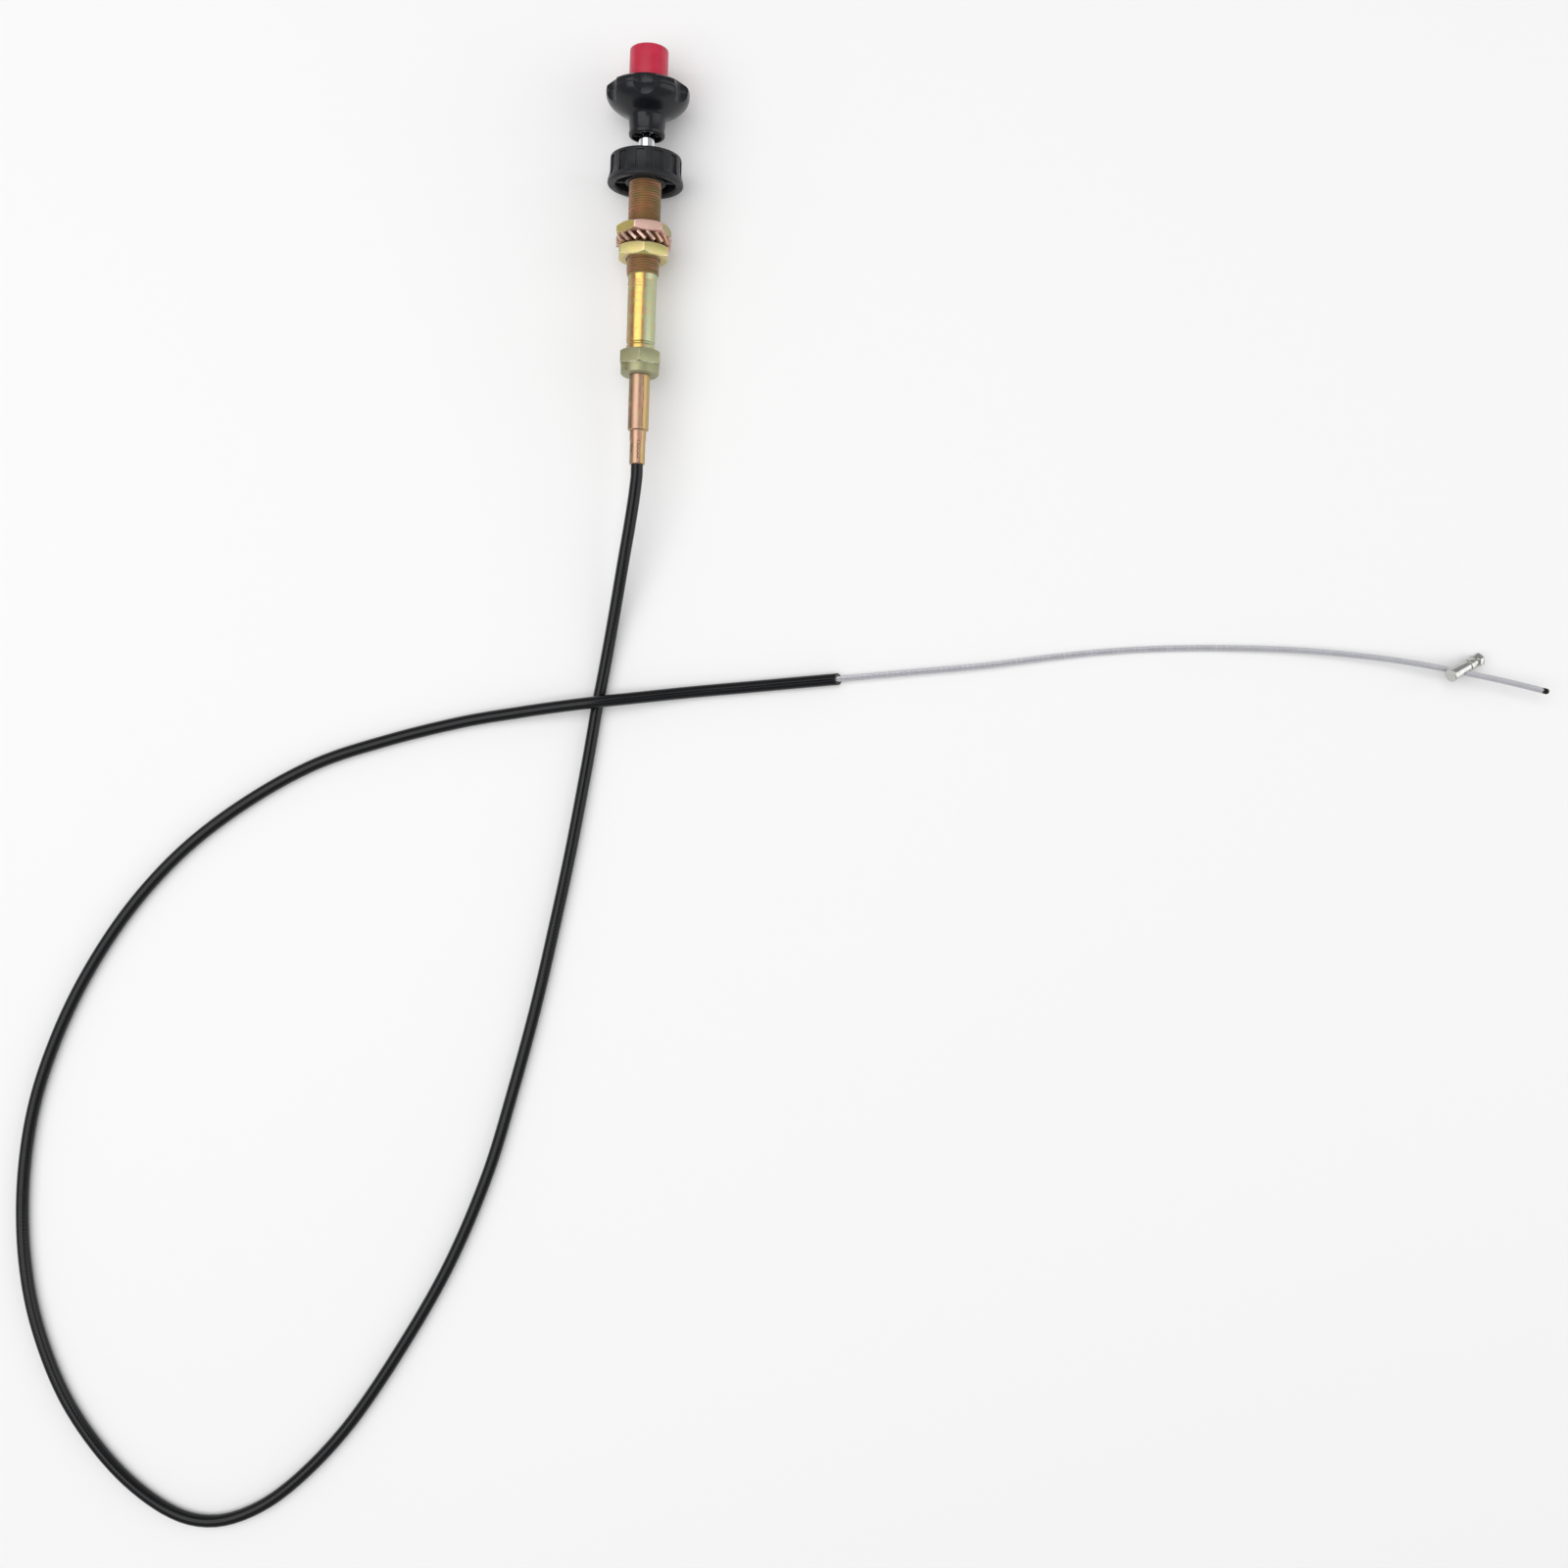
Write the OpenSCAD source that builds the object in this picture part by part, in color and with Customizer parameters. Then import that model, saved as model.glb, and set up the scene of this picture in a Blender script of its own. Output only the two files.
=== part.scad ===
// Push-button locking control cable: knob, threaded panel hub, conduit and steel core wire.
// The head lies along Y with its knob towards +Y, and everything lies on the plane z = 0.
// Heights in the head are stations along its axis, measured from the middle of its length.

/* [Knob and button] */
// Diameter of the knob over its six lobes
knob_d = 41; // [38:0.5:44]
// Width of each scallop between lobes
scallop_w = 11.6; // [10:0.2:12]
// Depth of each scallop
scallop_depth = 3.2; // [2.6:0.1:3.6]
// Diameter of the knob's neck
neck_d = 18; // [17:0.5:19]
// Diameter of the push button
button_d = 19; // [18:0.5:19.5]
// Travel of the push button
button_travel = 6; // [5:0.5:6]

/* [Shaft and lock] */
// Diameter of the sliding shaft
shaft_d = 8; // [8:0.1:8]
// Bore of the hub that the lock balls wedge in
hub_bore = 10.2; // [10.2:0.1:10.4]
// Diameter of a lock ball
ball_d = 2.4; // [2.2:0.1:2.4]

/* [Hub and nuts] */
// Outer diameter of the hub's thread
thread_d = 16; // [16:0.1:16]
// Diameter of the smooth part of the hub
tube_d = 14; // [13.8:0.1:14.2]
// Width of the panel nuts across their flats
panel_nut_af = 24; // [22:0.5:25]
// Width of the gland nut across its flats
gland_af = 19.2; // [18.6:0.2:20]
// Number of teeth on the lock washer
tooth_count = 18; // [14:1:18]
// Outer diameter of the friction nut's flange
friction_d = 37.5; // [36:0.5:38]
// Number of grip flutes round the friction nut
flute_count = 12; // [10:1:14]

/* [Cable] */
// Outer diameter of the conduit
conduit_d = 6; // [5.8:0.1:6]
// Diameter of the conduit's bore
conduit_bore = 3.6; // [3.5:0.1:3.8]
// Diameter of the stranded core wire
wire_d = 3; // [2.6:0.1:3]

/* [Wire clamp] */
// Diameter of the clamp's barrel
barrel_d = 7; // [6.5:0.1:7.4]
// Width of the clamp screw's hexagon head
screw_af = 6.4; // [6:0.1:6.6]
// How far the flat end of the barrel tips up
clamp_tilt = 22.6; // [20:0.2:24]

/* [Hidden] */
$fn = 48;
fit = 0.06;
gap = 0.3;
knob_r = knob_d / 2;
// The knob rests on the two corners of its lowest scallop
axis_z = sqrt(knob_r * knob_r - scallop_w * scallop_w / 4);
scallop_sag = axis_z - (knob_r - scallop_depth);
scallop_r = (scallop_sag * scallop_sag + scallop_w * scallop_w / 4) / (2 * scallop_sag);
shaft_r = shaft_d / 2;
bore_r = hub_bore / 2;
thread_r = thread_d / 2;
ball_r = ball_d / 2;
wire_r = wire_d / 2;

// Stations along the head's axis
button_top = 102.1;
button_base = 78.2;
knob_crown = 86.2;
rim_top = 82.2;
rim_base = 79.1;
neck_top = 66.5;
neck_base = 59;
button_floor = button_base - button_travel - 0.5;
friction_top = 48.9;
friction_base = 34.6;
hub_top = 42;
bush_base = 23.5;
upper_nut_top = 15.2;
upper_nut_base = 9.7;
lower_nut_top = 4.6;
lower_nut_base = -1.7;
thread_end = -10.7;
tube_start = -14;
groove_at = -43.2;
ball_at = -42;
gland_top = -46.4;
gland_step = -53.3;
gland_base = -58.6;
hub_base = -53;
gland_thread_r = 6.8;
flange_top = -53.6;
flange_base = -55.9;
ferrule_r = 5.1;
conduit_top = -88;
insert_base = neck_base + 2.6;
insert_r = 7.1;
button_ceiling = 92;
pin_top = 90;
pin_base = -49;
pin_stem_r = 2;
inner_wire_top = -63;
shaft_base = -67;
ferrule_step = -85.3;
ferrule_base = -102.1;
conduit_straight_end = -108;

// Radii of the layers inside the conduit
coil_outer_r = 2.35;
liner_outer_r = 1.95;

// The release pin's cone, which keeps the balls out until it slides down
pin_r = 2.8;
cone_slope = 0.18;
cone_r_at_ball = bore_r - ball_d - 0.06;
cone_start = ball_at - (pin_r - cone_r_at_ball) / cone_slope;
waist_r = cone_r_at_ball - cone_slope * (button_travel + 0.5);
cone_end = ball_at + button_travel + 0.5;

// Route of the conduit from the ferrule to its straight last stretch
straight = 75;
straight_start = [30, -212.3, 3];
straight_dir = [100, 12, 0] / norm([100, 12, 0]);
straight_heading = atan2(12, 100);
conduit_route = [
    [0, -108, axis_z], [-1, -118, 19.2], [-3, -132, 17.2], [-6, -150, 13.6], [-9, -168, 9.2],
    [-12, -186, 5.6], [-15, -204, 3.5], [-18, -222, 3], [-22, -250, 3], [-29, -294, 3],
    [-36, -332, 3], [-44, -372, 3], [-54, -414, 3], [-66, -458, 3], [-84, -504, 3],
    [-107, -547, 3], [-132, -586, 3], [-157, -614, 3], [-179, -630, 3], [-201, -636, 3],
    [-223, -630, 3], [-249, -610, 3], [-273, -579, 3], [-289, -543, 3], [-297, -508, 3],
    [-299, -470, 3], [-295, -432, 3], [-285, -397, 3], [-270, -363, 3], [-249, -329, 3],
    [-223, -299, 3], [-192, -274, 3], [-158, -254, 3], [-122, -241, 3], [-86, -231, 3],
    [-58, -225.5, 5], [-37, -222, 8.2], [-17, -219, 9.4], [5, -215.8, 6.6], straight_start
];
conduit_end = straight_start + straight * straight_dir;

// Route of the exposed core wire, from inside the conduit to its fused tip
wire_tail = 12;
wire_straight = 68;
wire_route = [
    conduit_end - wire_tail * straight_dir, conduit_end + wire_straight / 2 * straight_dir,
    conduit_end + wire_straight * straight_dir, [190, -192.6, 2.7], [210, -189.4, 2.2],
    [230, -186.6, 1.8], [250, -184.5, 1.6], [270, -183.1, 1.6], [290, -182.3, 1.8],
    [310, -182, 2.4], [330, -182.2, 3.4], [350, -183.2, 4.7], [370, -184.9, 6.3],
    [390, -187.4, 8], [411, -190.9, 9.8], [434, -195.2, 11], [453, -199.3, 11.4]
];
tip_length = 3;
// Azimuth of the clamp's axis, towards its flat end
clamp_heading = 208.4;
clamp_at = wire_route[14];
wire_hole_dir = wire_route[15] - wire_route[13];
barrel_end = 5.5;
barrel_base = -7;
collar_base = -10;
head_top = -13;
head_base = -16.4;
screw_r = 1.7;

zinc = [0.76, 0.68, 0.38];
olive = [0.6, 0.6, 0.42];
pink_zinc = [0.74, 0.6, 0.46];
black = [0.13, 0.13, 0.15];
steel = [0.75, 0.75, 0.77];

// Places children drawn along +Z on the head's axis, their front side towards -Y
module on_axis() {
    translate([0, 0, axis_z]) rotate([-90, 0, 0]) children();
}

// Places children drawn along +Z on the line that starts at a point with a heading
module along(start, heading) {
    translate(start) rotate([0, 90, heading]) children();
}

// Round bar between two stations, in mm of radius
module bar(from, to, r) {
    translate([0, 0, min(from, to)]) cylinder(h = abs(to - from), r = r);
}

// Ring between two stations
module ring(from, to, outer, inner) {
    difference() {
        bar(from, to, outer);
        translate([0, 0, min(from, to) - 1]) cylinder(h = abs(to - from) + 2, r = inner);
    }
}

// Hexagon body with chamfered corners, turned about its axis
module hex_body(from, to, af, turn) {
    corner = af / sqrt(3);
    chamfer = 0.12 * corner;
    rise = chamfer * 0.6;
    height = to - from;
    intersection() {
        translate([0, 0, from]) rotate([0, 0, turn]) cylinder(h = height, r = corner, $fn = 6);
        translate([0, 0, from]) rotate_extrude() polygon([
            [0, 0], [corner - chamfer, 0], [corner + 0.1, rise], [corner + 0.1, height - rise],
            [corner - chamfer, height], [0, height]
        ]);
    }
}

module panel_nut(from, to, turn) {
    countersink = 1;
    difference() {
        hex_body(from, to, panel_nut_af, turn);
        translate([0, 0, from - 1]) cylinder(h = to - from + 2, r = thread_r + fit);
        translate([0, 0, from - 0.01])
            cylinder(h = countersink, r1 = thread_r + countersink, r2 = thread_r);
        translate([0, 0, to - countersink + 0.01])
            cylinder(h = countersink, r1 = thread_r, r2 = thread_r + countersink);
    }
}

// Smooth curve through a list of points
function curve_point(p0, p1, p2, p3, t) =
    0.5 * (2 * p1 + (p2 - p0) * t + (2 * p0 - 5 * p1 + 4 * p2 - p3) * t * t
        + (3 * p1 - p0 - 3 * p2 + p3) * t * t * t);
function before(route) = 2 * route[0] - route[1];
function after(route) = 2 * route[len(route) - 1] - route[len(route) - 2];
function knot(route, i) = i < 0 ? before(route) : i >= len(route) ? after(route) : route[i];
// Each span is cut into as many steps as keep its rings under the stated distance apart
function steps(route, i, pitch) = max(1, ceil(norm(route[i + 1] - route[i]) / pitch));
function smooth(route, pitch) = concat(
    [for (i = [0 : len(route) - 2]) for (k = [0 : steps(route, i, pitch) - 1])
        let (t = k / steps(route, i, pitch))
            curve_point(knot(route, i - 1), route[i], route[i + 1], knot(route, i + 2), t)],
    [route[len(route) - 1]]);
function unit(v) = v / norm(v);
function heading_at(points, i, first, last) =
    i == 0 ? first : i == len(points) - 1 ? last : unit(points[i + 1] - points[i - 1]);

// Tube of a given radius swept along points, its two ends square to first and last
module swept(points, r, sides, first, last) {
    count = len(points);
    rings = [for (i = [0 : count - 1])
        let (t = heading_at(points, i, first, last), side = unit(cross([0, 0, 1], t)), up = cross(t, side))
        for (k = [0 : sides - 1]) points[i] + r * (cos(360 * k / sides) * side + sin(360 * k / sides) * up)];
    walls = [for (i = [0 : count - 2]) for (k = [0 : sides - 1])
        [i * sides + k, (i + 1) * sides + k, (i + 1) * sides + (k + 1) % sides, i * sides + (k + 1) % sides]];
    start_cap = [[for (k = [0 : sides - 1]) k]];
    end_cap = [[for (k = [sides - 1 : -1 : 0]) (count - 1) * sides + k]];
    polyhedron(points = rings, faces = concat(walls, start_cap, end_cap), convexity = 8);
}

// Threaded hub: the thread's crests, the smooth tube with its rolled groove and the gland's thread
module hub_tube() {
    tube_r = tube_d / 2;
    groove_depth = 0.5;
    groove_half = 0.8;
    groove_floor_half = 0.3;
    lead_in = 0.8;
    color(zinc) on_axis() difference() {
        rotate_extrude() polygon([
            [0, hub_base], [gland_thread_r, hub_base], [gland_thread_r, gland_top], [tube_r, gland_top],
            [tube_r, groove_at - groove_half], [tube_r - groove_depth, groove_at - groove_floor_half],
            [tube_r - groove_depth, groove_at + groove_floor_half], [tube_r, groove_at + groove_half],
            [tube_r, tube_start], [thread_r - 0.7, thread_end], [thread_r, thread_end + 0.6],
            [thread_r, hub_top - lead_in], [thread_r - lead_in, hub_top], [0, hub_top]
        ]);
        bar(hub_base - 1, hub_top + 1, bore_r);
    }
}

// Bronze bush in the hub's mouth, which guides the shaft
module guide_bush() {
    flange_r = 7;
    flange_top = hub_top + 1.2;
    color([0.7, 0.5, 0.25]) on_axis() difference() {
        union() {
            bar(bush_base, hub_top, bore_r);
            bar(hub_top, flange_top, flange_r);
        }
        bar(bush_base - 1, flange_top + 1, shaft_r + fit);
    }
}

// Nut that stays screwed up the hub, above the panel
module upper_panel_nut() {
    color(zinc) on_axis() panel_nut(upper_nut_base, upper_nut_top, 14.5);
}

// Nut that is unscrewed to let the panel in
module lower_panel_nut() {
    color(zinc) on_axis() panel_nut(lower_nut_base, lower_nut_top, 37);
}

// Ring with twisted external teeth, between the two panel nuts
module lock_washer() {
    middle = (upper_nut_base + lower_nut_top) / 2;
    half_thickness = 0.7;
    rim_r = 10.4;
    tooth_r = 11.9;
    tooth_size = [1.5, 3.2, 5.6];
    tooth_lean = 46;
    color(pink_zinc) on_axis() {
        ring(middle - half_thickness, middle + half_thickness, rim_r, thread_r + gap);
        for (i = [0 : tooth_count - 1]) rotate([0, 0, 360 * i / tooth_count])
            translate([0, -tooth_r, middle]) rotate([0, -tooth_lean, 0]) cube(tooth_size, center = true);
    }
}

// Gland nut with its round collar, which clamps the ferrule's flange to the hub
module gland_nut() {
    collar_r = 9.4;
    collar_chamfer = 1;
    color(olive) on_axis() difference() {
        union() {
            hex_body(gland_step, gland_top, gland_af, 33);
            rotate_extrude() polygon([
                [0, gland_base], [collar_r - collar_chamfer, gland_base],
                [collar_r, gland_base + collar_chamfer], [collar_r, gland_step], [0, gland_step]
            ]);
        }
        bar(flange_base - 0.1, gland_top + 1, gland_thread_r + 0.02);
        bar(gland_base - 1, flange_base + 1, ferrule_r + 0.04);
    }
}

// Stepped ferrule: flange, long barrel round the shaft's end and the part crimped on the conduit
module ferrule() {
    flange_r = 6.7;
    crimp_r = 3.8;
    shoulder_r = 4;
    crimp_top = -91;
    color(pink_zinc) on_axis() difference() {
        rotate_extrude() polygon([
            [0, ferrule_base], [crimp_r - 0.3, ferrule_base], [crimp_r, ferrule_base + 0.3],
            [crimp_r, crimp_top], [shoulder_r, crimp_top + 1], [shoulder_r, ferrule_step - 0.6],
            [ferrule_r, ferrule_step], [ferrule_r, flange_base], [flange_r, flange_base],
            [flange_r, flange_top], [0, flange_top]
        ]);
        bar(-83, flange_top + 1, shaft_r + 0.2);
        bar(conduit_top, -82, 2.6);
        bar(ferrule_base - 1, conduit_top, conduit_d / 2);
    }
}

// Rubber ring between the ferrule's flange and the hub's end
module ferrule_seal() {
    color(black) on_axis() ring(flange_top, hub_base, 6.6, 5.3);
}

// Hidden straight start of the conduit, inside the ferrule's crimp and just below it
module conduit_inlet() {
    color(black) on_axis() ring(conduit_straight_end, conduit_top, conduit_d / 2, conduit_bore / 2);
}

// The conduit's long free run
module conduit() {
    sides = 10;
    color(black) swept(smooth(conduit_route, 24), conduit_d / 2, sides, [0, -1, 0], straight_dir);
}

// The conduit's last straight stretch, drawn as its three layers down to the cut end
module conduit_jacket_end() {
    color(black) along(straight_start, straight_heading) ring(0, straight, conduit_d / 2, coil_outer_r);
}

module conduit_coil_end() {
    color([0.62, 0.56, 0.45]) along(straight_start, straight_heading)
        ring(0, straight - 0.3, coil_outer_r, liner_outer_r);
}

module conduit_liner_end() {
    color([0.85, 0.85, 0.8]) along(straight_start, straight_heading)
        ring(0, straight - 0.5, liner_outer_r, conduit_bore / 2);
}

// Mushroom knob: lobed rim, curved underside and hollow neck, open above for the button
module knob() {
    recess_r = 7;
    color(black) on_axis() difference() {
        rotate_extrude() polygon([
            [0, neck_base], [7.4, neck_base], [8.6, neck_base + 0.6], [neck_d / 2, neck_base + 1.8],
            [neck_d / 2, neck_top], [9.6, 68.2], [10.9, 69.5], [13.2, 70.8], [16, 72.6], [18.2, 74.4],
            [19.7, 76.2], [20.4, 78], [knob_r, rim_base], [0, rim_base]
        ]);
        scallops();
        bar(button_floor, rim_base + 1, button_d / 2 + 0.2);
        bar(neck_base - 1, button_floor + 1, shaft_r);
        bar(neck_base - 1, insert_base, recess_r);
        translate([0, 0, insert_base - 0.1]) rotate([0, 0, 30]) cylinder(h = 8, r = insert_r + 0.1, $fn = 6);
    }
}

// The six round cuts between the knob's lobes
module scallops() {
    for (i = [0 : 5]) rotate([0, 0, 60 * i])
        translate([0, -(knob_r - scallop_depth + scallop_r), neck_top]) cylinder(h = 24, r = scallop_r);
}

// Lobed cover on the knob's rim, which holds the button in
module knob_cover() {
    color(black) on_axis() difference() {
        rotate_extrude() polygon([
            [0, rim_base], [knob_r, rim_base], [knob_r, rim_top - 0.8], [knob_r - 0.4, rim_top],
            [17, 84], [13, 85.5], [10.6, knob_crown], [0, knob_crown]
        ]);
        scallops();
        bar(rim_base - 1, knob_crown + 1, button_d / 2 + 0.2);
    }
}

// Hexagon nut in the knob's neck, screwed on the shaft
module knob_insert() {
    color([0.75, 0.62, 0.3]) on_axis() difference() {
        translate([0, 0, insert_base]) rotate([0, 0, 30]) cylinder(h = 7.8, r = insert_r, $fn = 6);
        bar(neck_base, neck_top + 6, shaft_r);
    }
}

// Hollow shaft with cross holes for the balls and a socket for the wire's swivel
module shaft() {
    pin_bore_r = 2.15;
    chamber_top = -29;
    chamber_base = -55.6;
    socket_top = -57;
    color(steel) on_axis() difference() {
        bar(shaft_base, button_floor, shaft_r);
        bar(chamber_top, button_floor + 1, pin_bore_r);
        bar(chamber_base, chamber_top + 1, pin_r + 0.1);
        bar(shaft_base - 1, socket_top, pin_r);
        translate([-6, 0, ball_at]) rotate([0, 90, 0]) cylinder(h = 12, r = ball_r + 0.04);
    }
}

// Screwed cap that holds the swivel in the shaft's end
module shaft_end_cap() {
    color(steel) on_axis() ring(shaft_base, -61.4, pin_r, 2.1);
}

// Snap ring on the shaft that stops it below the bush when it's pulled right out
module stop_ring() {
    color(steel) on_axis() ring(-39.2, -37, bore_r - 0.15, shaft_r);
}

// Push button: a hollow cap with a boss that carries the release pin
module button() {
    button_r = button_d / 2;
    edge = 1.45;
    wall_r = 7.5;
    boss_r = 4.4;
    color([0.8, 0.2, 0.3]) on_axis() difference() {
        rotate_extrude() polygon([
            [0, button_base], [button_r, button_base], [button_r, button_top - edge],
            [button_r - 0.3 * edge, button_top - 0.3 * edge], [button_r - edge, button_top], [0, button_top]
        ]);
        ring(button_base - 1, button_ceiling, wall_r, boss_r);
        bar(button_base - 1, pin_top, pin_stem_r);
    }
}

// Pin from the button down the shaft, with the cone that wedges the balls out
module release_pin() {
    color(steel) on_axis() rotate_extrude() polygon([
        [0, pin_base], [pin_r, pin_base], [pin_r, cone_start], [waist_r, cone_end],
        [waist_r, cone_end + 2], [pin_stem_r, cone_end + 3], [pin_stem_r, pin_top], [0, pin_top]
    ]);
}

// Coil spring under the button
module button_spring() {
    coil_r = 5.9;
    strand_r = 0.55;
    turns = 5;
    sides = 16;
    low = button_floor + strand_r + 0.1;
    high = button_ceiling - strand_r - 0.1;
    climb = (high - low) / (turns * sides);
    points = [for (i = [0 : turns * sides])
        [coil_r * cos(360 * i / sides), coil_r * sin(360 * i / sides), low + climb * i]];
    color(steel) on_axis() swept(points, strand_r, 6, [0, 1, 0], [0, 1, 0]);
}

// One of the two balls that wedge between the pin's cone and the hub's bore
module lock_ball(side) {
    translate([side * (bore_r - ball_r - 0.02), 0, ball_at]) sphere(r = ball_r);
}

module lock_ball_left() {
    color(steel) on_axis() lock_ball(-1);
}

module lock_ball_right() {
    color(steel) on_axis() lock_ball(1);
}

// Swivel on the wire's end, free to turn in the shaft
module wire_swivel() {
    head_base = -61;
    tail_base = -73;
    color(steel) on_axis() difference() {
        union() {
            bar(head_base, -57.4, pin_r - 0.1);
            bar(tail_base, head_base, 2);
        }
        bar(tail_base - 1, inner_wire_top, wire_r);
    }
}

// The core wire's hidden end, from its swivel into the conduit
module core_wire_inner() {
    color(steel) on_axis() bar(-98, inner_wire_top, wire_r);
}

// Friction nut: closed top, fluted grip, flange and a spoked hub round its thread
module friction_nut() {
    grip_r = 17.5;
    flange_r = friction_d / 2;
    flute_w = 4.6;
    flute_depth = 1.2;
    flute_base = 37.2;
    flute_length = 10.4;
    flute_turn = 0.85;
    hub_base = 36.1;
    hub_ring_r = 10;
    spoke_w = 1.6;
    ceiling = 46.5;
    color([0.2, 0.2, 0.22]) on_axis() difference() {
        rotate_extrude() polygon([
            [0, friction_base], [flange_r - 0.8, friction_base], [flange_r, friction_base + 1],
            [flange_r - 0.4, 37.5], [grip_r + 0.3, 39.6], [grip_r, 41], [grip_r, friction_top - 1.2],
            [grip_r - 1.2, friction_top], [0, friction_top]
        ]);
        bar(friction_base - 1, ceiling, thread_r + fit);
        bar(ceiling - 0.5, friction_top + 1, shaft_r + 0.35);
        bar(friction_base - 1, hub_base, hub_ring_r + 0.2);
        difference() {
            ring(friction_base - 1, ceiling - 1, 14.6, hub_ring_r);
            for (i = [0 : 5]) rotate([0, 0, 60 * i + 30])
                translate([-spoke_w / 2, 8, friction_base + 1.2]) cube([spoke_w, 8, 12]);
        }
        for (i = [0 : flute_count - 1]) rotate([0, 0, 360 * (i + flute_turn) / flute_count])
            translate([-flute_w / 2, -grip_r - 5, flute_base]) cube([flute_w, 5 + flute_depth, flute_length]);
    }
}

// Soft ring that the friction nut squeezes on the shaft
module friction_ring() {
    base = 43.4;
    top = 46.3;
    color([0.9, 0.9, 0.85]) on_axis() difference() {
        rotate_extrude() polygon([[0, base], [7.6, base], [7.6, base + 1.4], [6.2, top], [0, top]]);
        bar(base - 1, top + 1, shaft_r + fit);
    }
}

// Exposed core wire
module core_wire() {
    sides = 8;
    count = len(wire_route);
    last = unit(wire_route[count - 1] - wire_route[count - 2]);
    color(steel) swept(smooth(wire_route, 21), wire_r, sides, straight_dir, last);
}

// Fused end of the core wire
module wire_tip() {
    count = len(wire_route);
    end = wire_route[count - 1];
    way = unit(end - wire_route[count - 2]);
    color([0.3, 0.28, 0.28]) translate(end) rotate([0, acos(way[2]), atan2(way[1], way[0])]) {
        cylinder(h = tip_length - wire_r, r = wire_r);
        translate([0, 0, tip_length - wire_r]) sphere(r = wire_r);
    }
}

// Places the clamp's pieces, drawn along +Z with the wire hole at the origin
module on_clamp() {
    translate(clamp_at) rotate([0, 90 - clamp_tilt, clamp_heading]) children();
}

// Hole for the wire, which crosses the barrel on the slant
module wire_hole() {
    way = unit(wire_hole_dir);
    translate(clamp_at - 12 * way) rotate([0, acos(way[2]), atan2(way[1], way[0])])
        cylinder(h = 24, r = wire_r + 0.12);
}

// Barrel of the wire clamp, with a flat end, a cross hole and a groove
module clamp_barrel() {
    barrel_r = barrel_d / 2;
    groove_r = barrel_r - 0.6;
    groove_top = barrel_base + 0.8;
    color([0.8, 0.8, 0.8]) difference() {
        on_clamp() rotate_extrude() polygon([
            [0, barrel_base], [groove_r, barrel_base], [groove_r, groove_top], [barrel_r, groove_top],
            [barrel_r, barrel_end - 0.4], [barrel_r - 0.4, barrel_end], [0, barrel_end]
        ]);
        wire_hole();
        on_clamp() bar(barrel_base - 1, -3, screw_r);
    }
}

// Loose collar between the barrel and the screw's head
module clamp_collar() {
    hole_r = screw_r + 0.05;
    neck_r = 2.6;
    collar_r = 3.4;
    color([0.7, 0.7, 0.72]) on_clamp() rotate_extrude() polygon([
        [hole_r, head_top], [neck_r, head_top], [neck_r, collar_base],
        [collar_r, collar_base], [collar_r, barrel_base], [hole_r, barrel_base]
    ]);
}

// Hexagon screw whose tip pinches the wire
module clamp_screw() {
    point_base = -4.5;
    color([0.65, 0.65, 0.67]) on_clamp() {
        translate([0, 0, head_base]) cylinder(h = head_top - head_base, r = screw_af / sqrt(3), $fn = 6);
        bar(head_top, point_base, screw_r);
        translate([0, 0, point_base]) cylinder(h = 1.4, r1 = screw_r, r2 = 0.5);
    }
}

hub_tube();
guide_bush();
upper_panel_nut();
gland_nut();
ferrule();
ferrule_seal();
conduit();
conduit_inlet();
conduit_jacket_end();
conduit_coil_end();
conduit_liner_end();
knob();
knob_cover();
knob_insert();
shaft();
shaft_end_cap();
stop_ring();
button();
release_pin();
button_spring();
lock_ball_left();
lock_ball_right();
wire_swivel();
core_wire_inner();
friction_nut();
friction_ring();
lock_washer();
lower_panel_nut();
core_wire();
wire_tip();
clamp_barrel();
clamp_screw();
clamp_collar();
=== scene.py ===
"""Looks of a push-pull control cable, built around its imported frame.

The head lies along Y with its knob towards +Y and everything rests on the plane z = 0. The head's
pieces are drawn about a local Z axis, in millimetres of radius and of station along the head, with
their front side towards local -Y. The matrix HEAD then lays them along the head.
"""

import logging
import math
from collections.abc import Callable, Iterable, Sequence
from dataclasses import dataclass, field
from enum import Enum

import bmesh
import bpy
from mathutils import Matrix, Vector


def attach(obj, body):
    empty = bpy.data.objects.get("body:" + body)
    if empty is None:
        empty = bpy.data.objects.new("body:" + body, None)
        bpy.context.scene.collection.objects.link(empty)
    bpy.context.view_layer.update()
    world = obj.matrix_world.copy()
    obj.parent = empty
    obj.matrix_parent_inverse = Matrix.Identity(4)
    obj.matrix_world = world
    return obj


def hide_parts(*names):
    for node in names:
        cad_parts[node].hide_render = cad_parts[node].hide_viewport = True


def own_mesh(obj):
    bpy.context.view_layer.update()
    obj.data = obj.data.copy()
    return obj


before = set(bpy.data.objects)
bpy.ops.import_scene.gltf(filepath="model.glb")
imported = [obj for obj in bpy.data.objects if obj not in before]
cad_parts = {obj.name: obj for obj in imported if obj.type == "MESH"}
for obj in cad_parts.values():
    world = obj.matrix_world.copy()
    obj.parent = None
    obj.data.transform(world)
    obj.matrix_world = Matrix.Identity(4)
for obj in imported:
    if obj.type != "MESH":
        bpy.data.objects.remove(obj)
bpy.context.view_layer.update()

log = logging.getLogger("cable")

MM = 0.001
AXIS_HEIGHT = 19.662 * MM
HEAD = Matrix.Translation((0.0, 0.0, AXIS_HEIGHT)) @ Matrix.Rotation(math.radians(-90.0), 4, "X")
UP = Vector((0.0, 0.0, 1.0))
CORNER_REACH = 0.48
SAME_SPOT = 1e-9

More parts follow.
